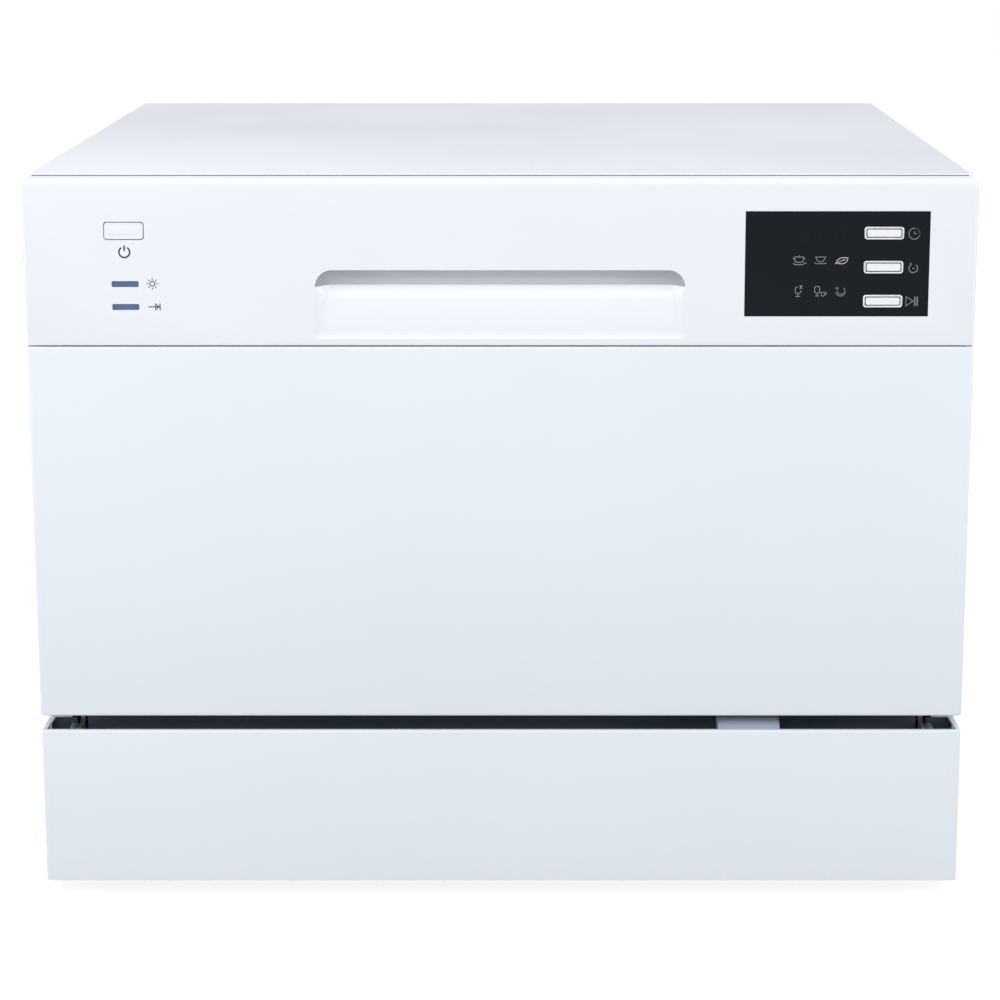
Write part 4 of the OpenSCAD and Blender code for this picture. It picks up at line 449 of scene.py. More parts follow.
consoleForm = {
    "depth": 21 * mm,
    "wall": 2.5 * mm,
    "seam": 1 * mm,              # above the door panel
    "drop": 0.8 * mm,            # the console's top lies this much under the cover's
    "topCorner": 4.5 * mm,
    "topEdge": 2.2 * mm,
    "bottomEdge": 0.7 * mm,
    "rimSoft": 0.45 * mm,
    "windowGap": 0.15 * mm,
    "windowCut": 6 * mm,         # depth of its opening behind the face
    "powerHole": (23.4 * mm, 10.6 * mm, 1.8 * mm),      # width, height, corner radius
    "lensHole": (15.6 * mm, 3.5 * mm, 0.7 * mm),
    "lensInset": 3.15 * mm,      # from the ends of the lenses' node to each lens's middle
    "handleWidth": 214 * mm,
    "handleGap": 0.3 * mm,
    "handleCorners": (10 * mm, 3 * mm),                 # radius at the top and at the foot
}


# the handle's opening, with wide corners at the top and small ones at the foot
def handlePrism(y0, y1):
    low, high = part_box("handle_pocket")
    z0, z1 = low[2] - consoleForm["handleGap"], high[2] + consoleForm["handleGap"]
    half = consoleForm["handleWidth"] / 2
    topCorner, footCorner = consoleForm["handleCorners"]
    bm = boxMesh((-half, y0, z0), (half, y1, z1))
    roundEdges(bm, lambda e: alongAxis(e, 1) and near(midOf(e).z, z1), topCorner, 8)
    roundEdges(bm, lambda e: alongAxis(e, 1) and near(midOf(e).z, z0), footCorner, 5)
    return bm


# a moulded front with its back open, cut for the handle, window, button and lenses
def makeConsole():
    form = consoleForm
    low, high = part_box("console")
    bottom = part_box("door_panel")[1][2] + form["seam"]
    front, back = low[1], low[1] + form["depth"]
    top = high[2] - form["drop"]
    bm = boxMesh((low[0], front, bottom), (high[0], back, top))
    roundEdges(bm, lambda e: alongAxis(e, 1) and near(midOf(e).z, top), form["topCorner"], 8)
    roundEdges(bm, lambda e: near(midOf(e).y, front) and not near(midOf(e).z, bottom), form["topEdge"], 5)
    roundEdges(bm, lambda e: alongAxis(e, 0) and near(midOf(e).z, bottom) and midOf(e).y < front + 3 * mm
               and any(f.normal.z < -0.9 for f in e.link_faces), form["bottomEdge"], 3)
    dropFaces(bm, lambda f: f.normal.y > 0.9)
    thicken(bm, form["wall"])
    piece = finishPiece("consoleShell", bm, "console", nodes=("console",))
    windowLow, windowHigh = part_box("display_window")
    powerLow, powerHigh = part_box("power_button")
    lensLow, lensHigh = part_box("indicator_lenses")
    before, behind, gap = front - 5 * mm, front + 8 * mm, form["windowGap"]
    cutters = [
        handlePrism(before, behind),
        boxMesh((windowLow[0] - gap, before, windowLow[2] - gap),
                (windowHigh[0] + gap, front + form["windowCut"], windowHigh[2] + gap)),
        platePrism(*form["powerHole"], before, behind, (powerLow[0] + powerHigh[0]) / 2,
                   (powerLow[2] + powerHigh[2]) / 2),
    ]
    for z in (lensHigh[2] - form["lensInset"], lensLow[2] + form["lensInset"]):
        cutters.append(platePrism(*form["lensHole"], before, behind, (lensLow[0] + lensHigh[0]) / 2, z, 4))
    cutAway(piece, cutters)
    smoothShade(piece.data, 35)
    softenEdges(piece, form["rimSoft"], 3, 60)


makeConsole()
print("console made")


handleForm = {
    "depth": 17.5 * mm,       # of the pocket behind the face
    "wall": 2 * mm,
    "seat": 0.2 * mm,         # how far the pocket reaches into the console's wall
    "backRadius": 10 * mm,
    "slope": 3.9 * mm,        # how far the plate's top stands behind the face
    "bow": 1.6,
    "sill": 1.1 * mm,         # the bright ledge under the plate
    "sillCurve": ((0.0, -0.1), (0.35, 0.2), (0.8, 0.7), (1.0, 1.5)),     # share of the sill; height in mm
    "lipRise": 29.8 * mm,
    "lipHeight": 5.0 * mm,
    "lipTilt": (22, 60),      # degrees that the lip's face looks up, at its foot and at its top
    "lipRadius": 1.4 * mm,
    "lipCurl": 190,           # degrees, where the rolled edge ends
    "hem": 3 * mm,            # height at which the sheet behind the plate ends
    "fillet": (2.6 * mm, 9.0 * mm),      # width at the foot and at the lip
    "lap": 0.7 * mm,          # over the opening's rim
    "proud": 0.02 * mm,
    "steps": 8,
    "stations": 10,           # of the curve at each end
}


# the vertices of an extruded row, in order from its lower end
def sortRow(edges):
    links = {}
    for e in edges:
        for v in e.verts:
            links.setdefault(v, []).append(e)
    ends = [v for v in links if len(links[v]) == 1]
    here = min(ends, key=lambda v: (v.co.z, v.co.y))
    row, used = [here], set()
    while True:
        onward = [e for e in links[row[-1]] if e not in used]
        if not onward:
            return row
        used.add(onward[0])
        row.append(onward[0].other_vert(row[-1]))


# the slanted plate with its rolled lip: one profile, carried along X; at both ends it turns
# forward to the face in a soft curve, the higher the wider
def makeGripPlate():
    z0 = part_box("handle_pocket")[0][2]
    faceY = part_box("console")[0][1]
    half = consoleForm["handleWidth"] / 2
    form = handleForm
    slope, sill, steps = form["slope"], form["sill"], form["steps"]
    footZ = z0 + form["lipRise"] - form["lipHeight"]
    profile = [(-form["proud"], z0 - form["lap"])]
    profile += [(share * sill, z0 + height * mm) for share, height in form["sillCurve"]]
    sillZ = profile[-1][1]
    for step in range(1, steps + 1):
        t = step / steps
        profile.append((sill + (slope - sill) * t ** form["bow"], sillZ + (footZ - sillZ) * t))
    foot, crest, curl = [radians(a) for a in (*form["lipTilt"], form["lipCurl"])]
    lipSweep = form["lipHeight"] / (sin(crest) - sin(foot))
    for radius, start, end in ((lipSweep, foot, crest), (form["lipRadius"], crest, curl)):
        depth, z = profile[-1]
        for step in range(1, steps + 1):
            a = start + (end - start) * step / steps
            profile.append((depth + radius * (cos(start) - cos(a)),
                            z + radius * (sin(a) - sin(start))))
    profile.append((profile[-1][0], z0 + form["hem"]))
    stations = [i / form["stations"] for i in range(form["stations"] + 1)]
    bm = bmesh.new()
    row = [bm.verts.new((-half, faceY, z)) for depth, z in profile]
    edges = [bm.edges.new(pair) for pair in zip(row, row[1:])]
    for side, share in [(-1, t) for t in stations] + [(1, t) for t in reversed(stations)]:
        made = bmesh.ops.extrude_edge_only(bm, edges=edges)["geom"] if len(bm.faces) or share else []
        if made:
            edges = [g for g in made if isinstance(g, bmesh.types.BMEdge)]
        for v, (depth, z) in zip(sortRow(edges), profile):
            rise = min(max((z - z0) / form["lipRise"], 0), 1)
            width = form["fillet"][0] + (form["fillet"][1] - form["fillet"][0]) * rise + form["lap"]
            ease = share * share * (3 - 2 * share)
            v.co = (side * (half + form["lap"] - width * share),
                    faceY - form["proud"] + (depth + form["proud"]) * ease, z)
    bmesh.ops.recalc_face_normals(bm, faces=bm.faces)
    midZ = z0 + form["lipRise"] / 2
    middle = min(bm.faces, key=lambda f: abs(f.calc_center_median().x) + abs(f.calc_center_median().z - midZ))
    if middle.normal.y > 0:
        bmesh.ops.reverse_faces(bm, faces=bm.faces)
    return bm


# the pocket is an open box with round corners, its walls outside the opening, and the plate stands in it
def makeHandle():
    form = handleForm
    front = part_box("console")[0][1]
    y0, y1 = front + consoleForm["wall"] - form["seat"], front + form["depth"] - form["wall"]
    pocket = handlePrism(y0, y1)
    dropFaces(pocket, lambda f: f.normal.y < -0.9)
    roundEdges(pocket, lambda e: len(e.link_faces) == 2 and near(midOf(e).y, y1), form["backRadius"], 6)
    thicken(pocket, -form["wall"])
    joinMesh(pocket, makeGripPlate())
    finishPiece("handleScoop", pocket, "console", nodes=("handle_pocket",), smoothAngle=50)


makeHandle()
print("handle made")


# a flat ribbon along a line of points: a grid is bent to follow them
def addStroke(bm, points, width, closed=False):
    if closed:
        points = points + points[:1]
    count = len(points)
    ribbon = bmesh.ops.create_grid(bm, x_segments=count - 1, y_segments=1, size=0.5)["verts"]
    for i in range(count):
        here = Vector(points[i])
        before = Vector(points[i - 1]) if i else Vector(points[-2] if closed else points[0])
        after = Vector(points[i + 1]) if i < count - 1 else Vector(points[1] if closed else points[-1])
        steps = [s.normalized() for s in (here - before, after - here) if s.length > 1e-6]
        along = sum(steps, Vector((0, 0))).normalized()
        across = Vector((-along.y, along.x)) * width / 2 / max(along.dot(steps[0]), 0.55)
        ribbon[i].co = (here.x - across.x, 0, here.y - across.y)
        ribbon[i + count].co = (here.x + across.x, 0, here.y + across.y)


def arcPoints(cx, cz, radius, start, end, steps=16):
    return [(cx + radius * cos(radians(start + (end - start) * i / steps)),
             cz + radius * sin(radians(start + (end - start) * i / steps)))
            for i in range(steps + 1)]


# prints a set of marks on a face that looks towards -Y; all but faceY is in millimetres
def printMarks(name, marks, faceY, finish, proud=0.04, depth=0.1):
    bm = bmesh.new()
    for (cx, cz), width, strokes in marks:
        for points, closed in strokes:
            addStroke(bm, [(cx + x, cz + z) for x, z in points], width, closed)
    bmesh.ops.remove_doubles(bm, verts=bm.verts, dist=0.001)
    bmesh.ops.translate(bm, vec=(0, -proud, 0), verts=bm.verts)
    made = bmesh.ops.extrude_face_region(bm, geom=bm.faces[:])["geom"]
    bmesh.ops.translate(bm, vec=(0, depth, 0), verts=[g for g in made if isinstance(g, bmesh.types.BMVert)])
    bmesh.ops.recalc_face_normals(bm, faces=bm.faces)
    bmesh.ops.scale(bm, vec=(mm, mm, mm), verts=bm.verts)
    bmesh.ops.translate(bm, vec=(0, faceY, 0), verts=bm.verts)
    return finishPiece(name, bm, finish, body="door")


# programme pictograms of the display: middle, width of line, strokes about the middle, each open or closed
windowMarks = {
    "pot": ((172.3, 390.6), 0.34, [
        ([(-2.5, 2.1), (-2.5, 0.1), (-2.2, -0.6), (-1.5, -1.0), (1.5, -1.0), (2.2, -0.6), (2.5, 0.1),
          (2.5, 2.1)], True),
        ([(0, 2.2), (0, 2.9)], False), ([(-3.4, 0.9), (-3.3, 1.4), (-2.6, 1.5)], False),
        ([(3.4, 0.9), (3.3, 1.4), (2.6, 1.5)], False),
        ([(-3.2, -1.7), (-2.3, -2.4), (2.2, -2.4), (3.2, -1.5), (4.3, -1.4)], False)]),
    "bowl": ((184.7, 390.6), 0.34, [
        ([(-2.9, 2.1), (-2.2, 0.6), (-1.3, -0.4), (-0.6, -0.7), (0.6, -0.7), (1.3, -0.4), (2.2, 0.6),
          (2.9, 2.1)], True),
        ([(-3.5, -1.0), (-2.8, -1.8), (2.8, -1.8), (3.5, -1.0)], False)]),
    "leaf": ((197.1, 390.5), 0.32, [
        ([(-3.4, -1.2), (-2.6, 0.5), (-1.0, 1.6), (1.0, 1.9), (3.3, 1.7), (3.0, 0.1), (1.9, -1.2), (0.2, -1.8),
          (-1.7, -1.7)], True),
        ([(-4.0, -1.9), (-1.9, -0.7), (0.2, 0.2), (1.9, 0.9)], False)]),
    "brightGlass": ((172.4, 372.6), 0.34, [
        ([(-0.7, 2.6), (-1.8, 2.3), (-2.0, -0.2), (-1.3, -1.1), (-0.4, -1.3), (0.5, -1.1), (1.3, -0.2),
          (1.4, 0.6)], False),
        ([(-0.4, -1.3), (-0.4, -2.8)], False), ([(-1.8, -2.9), (1.1, -2.9)], False),
        ([(0.5, 3.3), (2.1, 1.7)], False), ([(0.5, 1.7), (2.1, 3.3)], False),
        ([(1.3, 3.6), (1.3, 1.4)], False)]),
    "glassAndCup": ((184.6, 372.6), 0.34, [
        ([(-2.4, 2.9), (-0.6, 2.9), (-0.1, 2.1), (-0.1, -0.2), (-0.9, -1.1), (-2.1, -1.1), (-3.0, -0.2),
          (-3.0, 2.1)], True),
        ([(-1.5, -1.1), (-1.5, -2.5)], False), ([(-2.6, -2.6), (-0.4, -2.6)], False),
        ([(0.7, -0.5), (3.2, -0.5), (2.9, -2.0), (2.3, -2.7), (1.4, -2.7), (0.9, -2.0)], True),
        ([(3.1, -1.0), (3.9, -0.9), (3.5, -1.9), (2.9, -1.9)], False)]),
    "swirl": ((196.6, 372.6), 0.3, [
        (arcPoints(0, 0, 2.7, 185, 412, 22), False), (arcPoints(0.1, 0.1, 1.8, 175, 340, 14), False),
        ([(-2.8, 1.5), (-2.0, 2.6)], False), ([(-2.1, 0.8), (-1.1, 2.2)], False)]),
    "clock": ((238.3, 406.2), 0.34, [
        (arcPoints(0, 0, 3.15, 82, 345, 26), False), (arcPoints(0, 0, 3.15, 356, 363, 2), False),
        (arcPoints(0, 0, 3.15, 16, 24, 2), False), (arcPoints(0, 0, 3.15, 37, 45, 2), False),
        (arcPoints(0, 0, 3.15, 58, 66, 2), False), ([(0, 1.5), (0, 0), (1.5, 0)], False)]),
    "cycle": ((238.2, 386.1), 0.4, [
        (arcPoints(0, 0, 2.5, 115, 410, 26), False), ([(-1.9, 3.2), (-1.0, 2.3), (-1.9, 1.3)], False),
        ([(-0.6, 0), (0.7, 0)], False)]),
    "playPause": ((237.8, 366.9), 0.34, [
        ([(-3.3, 2.7), (-3.3, -2.7), (0.8, 0)], True), ([(1.6, 2.7), (1.6, -2.7)], False),
        ([(2.5, 2.7), (2.5, -2.7)], False), ([(3.4, 2.7), (3.4, -2.7)], False)]),
}


# unlit digits of seven segments, leaning a little, in millimetres
digitForm = {
    "middle": (185.6, 405.4),
    "pitch": 10.2,
    "half": (2.1, 4.3),
    "lean": 0.14,
    "gap": 0.5,
    "line": 0.85,
    "proud": 0.015,
}


def digitStrokes(cx):
    w, h = digitForm["half"]
    bars = [((-w, h), (w, h)), ((-w, 0), (w, 0)), ((-w, -h), (w, -h)), ((-w, h), (-w, 0)), ((w, h), (w, 0)),
            ((-w, 0), (-w, -h)), ((w, 0), (w, -h))]
    strokes = []
    for a, b in bars:
        a, b = Vector(a), Vector(b)
        trim = (b - a).normalized() * digitForm["gap"]
        ends = [a + trim, b - trim]
        strokes.append(([(cx + p.x + p.y * digitForm["lean"], p.y) for p in ends], False))
    return strokes


consoleMarks = {
    "power": ((-216.2, 395.8), 0.9, [
        (arcPoints(0, -0.3, 3.1, 122, 418, 30), False), ([(0, 0.4), (0, 3.6)], False)]),
    "sun": ((-200.6, 377.1), 0.56, [
        (arcPoints(0, 0, 1.45, 0, 330, 11), True)] + [
        ([(cos(a) * 2.3, sin(a) * 2.3), (cos(a) * 3.3, sin(a) * 3.3)], False)
        for a in [radians(45 * k) for k in range(8)]]),
    "rinse": ((-199.7, 363.6), 0.6, [
        ([(-3.6, 0), (2.9, 0)], False), ([(0.6, 1.7), (2.6, 0), (0.6, -1.7)], True),
        ([(3.2, 2.0), (3.2, -2.0)], False)]),
}

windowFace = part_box("display_window")[0][1]
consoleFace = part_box("console")[0][1]
dimMarks = [mark for name, mark in windowMarks.items() if name != "leaf"]
digits = [stroke for k in (-1, 0, 1) for stroke in digitStrokes(k * digitForm["pitch"])]
printMarks("displayMarks", dimMarks, windowFace, "dimPrint")
printMarks("leafMark", [windowMarks["leaf"]], windowFace, "leafPrint")
printMarks("ghostDigits", [(digitForm["middle"], digitForm["line"], digits)], windowFace, "ghost",
           proud=digitForm["proud"])
printMarks("consoleMarks", list(consoleMarks.values()), consoleFace, "print")
print("marks printed")


# millimetres: the wires' radii and the rack's lines, as in the solids
wireForm = {
    "wire": 1.5, "rim": 2.2,
    "dome": (0.0, 0.5, 0.9, 1.25), "tip": 0.04,      # angles and least size of a rounded tip
    "half": 226.0, "front": -193.1, "rear": 188.0, "floor": 149.8, "top": 261.8, "rail": 158.8,
    "inset": 2.9, "lift": 2.6, "floorBend": 9.0, "rimBend": 18.0,
    "acrossCount": 9, "acrossEdge": 34.0, "alongPitch": 50.0, "alongSide": 4,
    "tine": 1.3, "tineBase": 155.4, "tineJoint": 20, "tineTop": 214.4, "tineFront": -169.1, "tinePitch": 26.0,
    "tineCount": 12, "combs": {-2: 8, -1: 0, 1: 0, 2: 0}, "barEnd": 6,
    "shelfAxis": (216.0, 273.8), "shelfReach": 100.0, "shelfLength": 290.0, "shelfWire": 2.0, "shelfBend": 10,
    "rungs": 10, "rungLift": 2.3, "rungShort": 5, "spine": (24, 0.5),
    "eyelet": 98.0, "eyeletRadius": 3.6, "eyeletDrop": 4, "stop": 270.0, "stopReach": 32, "stopBend": 2.4,
}


# coated wires are drawn as curves with round sections and made a mesh; a tip is rounded off
def addWire(curve, points, closed, tips, radius):
    path = [Vector(p) for p in points]
    sizes = [1.0] * len(path)
    if tips and not closed:
        for end in (0, -1):
            tip, inner = path[end], path[1 if end == 0 else -2]
            along = (inner - tip).normalized()
            dome = wireForm["dome"]
            places = [tip + along * radius * (1 - cos(a)) for a in dome] + [tip + along * radius]
            shares = [max(sin(a), wireForm["tip"]) for a in dome] + [1.0]
            if end == 0:
                path[:1], sizes[:1] = places, shares
            else:
                path[-1:], sizes[-1:] = places[::-1], shares[::-1]
    spline = curve.splines.new("POLY")
    spline.points.add(len(path) - 1)
    for point, place, size in zip(spline.points, path, sizes):
        point.co = (*(place * mm), 1)
        point.radius = size
    spline.use_cyclic_u = closed


# rounds the corners of a path: each corner becomes an arc of the given radius
def bendPoints(points, radius, closed=False, steps=6):
    path = [Vector(p) for p in points]
    out = []
    for i, here in enumerate(path):
        if not closed and i in (0, len(path) - 1):
            out.append(here)
            continue
        before, after = path[i - 1], path[(i + 1) % len(path)]
        toBefore, toAfter = (before - here).normalized(), (after - here).normalized()
        half = toBefore.angle(toAfter) / 2
        cut = radius / tan(half)
        centre = here + (toBefore + toAfter).normalized() * radius / sin(half)
        start, end = here + toBefore * cut - centre, here + toAfter * cut - centre
        turn = start.angle(end)
        axis = start.cross(end).normalized()
        out += [centre + Matrix.Rotation(turn * k / steps, 3, axis) @ start for k in range(steps + 1)]
    return out


# one mesh of several groups of wires: each group's radius, and its paths with closed and rounded ends or not
def wireMesh(groups):
    total = bmesh.new()
    for radius, paths in groups:
        curve = bpy.data.curves.new("wire", "CURVE")
        curve.dimensions = "3D"
        curve.bevel_depth = radius * mm
        curve.bevel_resolution = 2
        curve.use_fill_caps = True
        for points, closed, tips in paths:
            addWire(curve, points, closed, tips, radius)
        holder = placeObject("wire", curve)
        mesh = bpy.data.meshes.new_from_object(holder.evaluated_get(bpy.context.evaluated_depsgraph_get()))
        total.from_mesh(mesh)
        bpy.data.objects.remove(holder)
        bpy.data.meshes.remove(mesh)
        bpy.data.curves.remove(curve)
    bmesh.ops.remove_doubles(total, verts=total.verts, dist=0.01 * mm)
    bmesh.ops.recalc_face_normals(total, faces=total.faces)
    return total


def makeDishRack():
    w = wireForm
    half, front, rear, floor, top = [w[k] for k in ("half", "front", "rear", "floor", "top")]
    midY, span = (front + rear) / 2, rear - front
    reach, reachY = half - w["inset"], span / 2 - w["inset"]

    def ring(inset, z, steps=6):
        x, y0, y1 = half - inset, front + inset, rear - inset
        corners = [(-x, y0, z), (x, y0, z), (x, y1, z), (-x, y1, z)]
        return bendPoints(corners, w["rimBend"], True, steps), True, False

    wires = []
    for i in range(w["acrossCount"]):
        y = front + w["acrossEdge"] + (span - 2 * w["acrossEdge"]) * i / (w["acrossCount"] - 1)
        wires.append((bendPoints([(-reach, y, top), (-reach, y, floor), (reach, y, floor), (reach, y, top)],
                                 w["floorBend"]), False, False))
    for i in range(-w["alongSide"], w["alongSide"] + 1):
        x, z = i * w["alongPitch"], floor + w["lift"]
        y0, y1 = midY - reachY, midY + reachY
        wires.append((bendPoints([(x, y0, top), (x, y0, z), (x, y1, z), (x, y1, top)], w["floorBend"]),
                      False, False))
    wires += [ring(w["rim"] - w["wire"], z) for z in (w["rail"], (floor + top) / 2)]
    axisX, axisZ = w["shelfAxis"]
    for y in (midY - w["eyelet"], midY + w["eyelet"]):
        wires.append((bendPoints([(reach, y, top - w["eyeletDrop"]), (reach, y, w["stop"]),
                                  (axisX - w["stopReach"], y, w["stop"])], w["stopBend"]), False, True))
        loop = arcPoints(axisX, axisZ, w["eyeletRadius"], -50, 290, 17)
        wires.append(([(x, y, z) for x, z in loop], True, False))
    finishPiece("rackWires", wireMesh([(w["wire"], wires), (w["rim"], [ring(0, top, 8)])]), "wire",
                nodes=("dish_rack",))


def makePlateTines():
    w = wireForm
    bars, tines = [], []
    base = w["tineBase"]
    for comb, first in w["combs"].items():
        x, y0 = comb * w["alongPitch"], w["tineFront"] + first * w["tinePitch"]
        last = w["tineFront"] + w["tineCount"] * w["tinePitch"]
        bars.append(([(x, y0 - w["barEnd"], base), (x, last + w["barEnd"], base)], False, True))
        for k in range(first, w["tineCount"] + 1):
            y = w["tineFront"] + k * w["tinePitch"]
            tines.append(([(x, y, base), (x, y, base + w["tineJoint"]), (x, y, w["tineTop"])], False, True))
    finishPiece("plateCombs", wireMesh([(w["wire"], bars), (w["tine"], tines)]), "wire",
                nodes=("plate_tines",))


def makeCupShelf():
    w = wireForm
    axisX, z = w["shelfAxis"]
    midY = (w["front"] + w["rear"]) / 2
    y0, y1, x0 = midY - w["shelfLength"] / 2, midY + w["shelfLength"] / 2, axisX - w["shelfReach"]
    loop = [(bendPoints([(x0, y0, z), (axisX, y0, z), (axisX, y1, z), (x0, y1, z)], w["shelfBend"], True),
             True, False)]
    rungs = []
    for k in range(1, w["rungs"] + 1):
        y, rungZ = y0 + w["shelfLength"] * k / (w["rungs"] + 1), z + w["rungLift"]
        rungs.append(([(x0, y, rungZ), (x0 + w["shelfReach"] - w["rungShort"], y, rungZ)], False, True))
    inset, below = w["spine"]
    rungs.append(([(axisX - inset, y0, z - below), (axisX - inset, y1, z - below)], False, True))
    finishPiece("shelfWires", wireMesh([(w["shelfWire"], loop), (w["wire"], rungs)]), "wire",
                nodes=("cup_shelf",))


makeDishRack()
makePlateTines()
makeCupShelf()
print("rack wires made")


# raised beads pressed into the stainless sheets: flattened round rings along a rounded outline, in millimetres
beadForm = {
    "width": 4.5, "rise": 1.5, "corner": 26.0,
    "tubSide": (-160.0, 150.0, 180.0, 372.0), "tubSideX": 242.2,      # y and z
    "tubRear": (-190.0, 190.0, 165.0, 372.0), "tubRearY": 198.2,      # x and z
    "tubRoof": (-190.0, 190.0, -160.0, 150.0), "tubRoofZ": 406.2,     # x and y
    "door": (-218.0, 218.0, 147.0, 382.0), "doorY": -205.3,           # x and z
}


# the outline lies across one axis, at the given place on it
def addBead(bm, outline, place, axis):
    a0, a1, b0, b1 = outline
    corners = [[a0, b0], [a1, b0], [a1, b1], [a0, b1]]
    for corner in corners:
        corner.insert(axis, 0)
    ring = wireMesh([(beadForm["width"], [(bendPoints(corners, beadForm["corner"], True, 8), True, False)])])
    scale, shift = [1, 1, 1], [0, 0, 0]
    scale[axis] = beadForm["rise"] / beadForm["width"]
    shift[axis] = place * mm
    bmesh.ops.scale(ring, vec=scale, verts=ring.verts)
    bmesh.ops.translate(ring, vec=shift, verts=ring.verts)
    joinMesh(bm, ring)


def makeTubBeads():
    bm = bmesh.new()
    for side in (-1, 1):
        addBead(bm, beadForm["tubSide"], side * beadForm["tubSideX"], 0)
    addBead(bm, beadForm["tubRear"], beadForm["tubRearY"], 1)
    addBead(bm, beadForm["tubRoof"], beadForm["tubRoofZ"], 2)
    finishPiece("tubBeads", bm, "steel", body=bodyOf("tub"))


def makeDoorBead():
    bm = bmesh.new()
    addBead(bm, beadForm["door"], beadForm["doorY"], 1)
    finishPiece("doorBead", bm, "doorSteel", body="door")


# moulded plate that closes the console's open rear above the inner door, with a slot for the lock
consoleRear = {
    "low": (-271.5, -229.7, 398.0), "high": (271.5, -228.5, 435.2), "corner": 3.0,
    "slot": (-44.0, 44.0, 410.0, 434.0), "slotCorner": 2.0,
}


def makeConsoleRear():
    low, high = inMetres(consoleRear["low"]), inMetres(consoleRear["high"])
    bm = boxMesh(low, high)
    roundEdges(bm, lambda e: alongAxis(e, 1), consoleRear["corner"] * mm, 4)
    piece = finishPiece("consoleRear", bm, "console", body="door")
    x0, x1, z0, z1 = inMetres(consoleRear["slot"])
    cutAway(piece, [platePrism(x1 - x0, z1 - z0, consoleRear["slotCorner"] * mm, low[1] - 5 * mm,
                               high[1] + 5 * mm, (x0 + x1) / 2, (z0 + z1) / 2, 4)])


# dark plates beside the tray's front wall, so that the gap under the door shows one dark band: painted shade,
# dark sheets put where the machine shows only shade
gapShadePlateForm = {
    "inner": ((228.0, -221.9, 60.0), (251.8, -219.7, 114.0)),
    "outer": ((257.6, -223.4, 60.0), (273.7, -222.4, 106.6)),
    "corner": 0.4,
}


def makeGapShadePlates():
    total = bmesh.new()
    for side in ("inner", "outer"):
        low, high = gapShadePlateForm[side]
        bm = boxMesh(inMetres(low), inMetres(high))
        roundEdges(bm, lambda e: True, gapShadePlateForm["corner"] * mm, 2)
        joinMesh(total, bm)
    bmesh.ops.mirror(total, geom=total.faces[:] + total.edges[:] + total.verts[:], axis="X", merge_dist=-1)
    bmesh.ops.recalc_face_normals(total, faces=total.faces)
    # painted shade: these dark plates stand in for the shade deep in the gap under the door
    finishPiece("gapShadePlates", total, "dark", body=bodyOf("base_tray"))


# dark rubber strip in the joint between the cover and the console: painted shade, standing in for the shadow in
# the seam
jointShadeStrip = {"low": (-272.0, -227.85, 430.0), "high": (272.0, -227.2, 437.55), "edge": 0.15}


def makeJointShadeStrip():
    bm = boxMesh(inMetres(jointShadeStrip["low"]), inMetres(jointShadeStrip["high"]))
    roundEdges(bm, lambda e: alongAxis(e, 0), jointShadeStrip["edge"] * mm, 2)
    # painted shade: the strip's dark finish stands in for the shadow in the seam
    finishPiece("jointShadeStrip", bm, "rubber", body=bodyOf("top_cover"))


makeTubBeads()
makeDoorBead()
makeJointShadeStrip()
makeConsoleRear()
makeGapShadePlates()
print("pressed beads, console rear and blinds made")


# the other CAD pieces: their finish and the softening of their edges in millimetres, 0 for none
nodeFinish = {
    "base_tray": ("dark", 0.5), "feet": ("rubber", 0.4), "back_panel": ("zinc", 0.5),
    "panel_screws": ("spring", 0), "tub": ("steel", 0), "door_gasket": ("rubber", 0.3),
    "sump": ("dark", 0.4), "main_filter": ("steel", 0), "filter_cup": ("filter", 0.4),
    "spray_spindle": ("arm", 0.4), "spray_arm": ("arm", 0.6), "spray_arm_nut": ("filter", 0.3),
    "wash_pump": ("dark", 0.6), "pump_impeller": ("filter", 0.3), "drain_pump": ("dark", 0.6),
    "inner_hoses": ("rubber", 0), "drain_outlet": ("filter", 0.4), "inlet_valve": ("ivory", 0.5),
    "air_break": ("clear", 0.5), "cord_gland": ("rubber", 0.4), "float": ("ivory", 0.4),
    "float_switch": ("dark", 0.4), "control_box": ("duct", 0.5), "harness_duct": ("duct", 0.5),
    "hinge_brackets": ("zinc", 0.3), "door_springs": ("spring", 0), "latch_strike": ("zinc", 0.2),
    "inner_door": ("doorSteel", 0.6), "door_screws": ("spring", 0), "hinge_arms": ("zinc", 0.3),
    "door_lock": ("dark", 0.5), "door_sill_seal": ("rubber", 0), "display_window": ("window", 0.15),
    "display_board": ("board", 0), "key_frames": ("frame", 0.35), "delay_key": ("key", 0.6),
    "program_key": ("key", 0.6), "start_key": ("key", 0.6), "power_button": ("key", 0.35),
    "indicator_lenses": ("lens", 0.2), "dispenser": ("dispenser", 0.8), "detergent_lid": ("lid", 0.5),
    "lid_catch": ("catch", 0.5), "rinse_aid_cap": ("cap", 0.5), "cutlery_basket": ("basket", 0.4),
    "wheel_clips": ("basket", 0.4), "wheel_front_left": ("basket", 0.4),
    "wheel_front_right": ("basket", 0.4), "wheel_rear_left": ("basket", 0.4),
    "wheel_rear_right": ("basket", 0.4),
}
keySlim = {"delay_key": 0.22 * mm, "program_key": 0.22 * mm, "start_key": 0.22 * mm, "power_button": 0.1 * mm}
buttonPad = {
    "halfWidth": 8.4 * mm,
    "halfHeight": 2.2 * mm,
    "offset": 1.152 * mm,      # from the pocket's middle up to the button's
    "recess": 0.5 * mm,
    "proud": 0.3 * mm,
}


# keys a little slimmer than their openings, so that the outlines show
def slimKey(bm, node):
    low, high = [Vector(p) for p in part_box(node)]
    size = high - low
    bmesh.ops.scale(bm, vec=(1 - 2 * keySlim[node] / size.x, 1, 1 - 2 * keySlim[node] / size.z), verts=bm.verts,
                    space=Matrix.Translation(-(low + high) / 2))


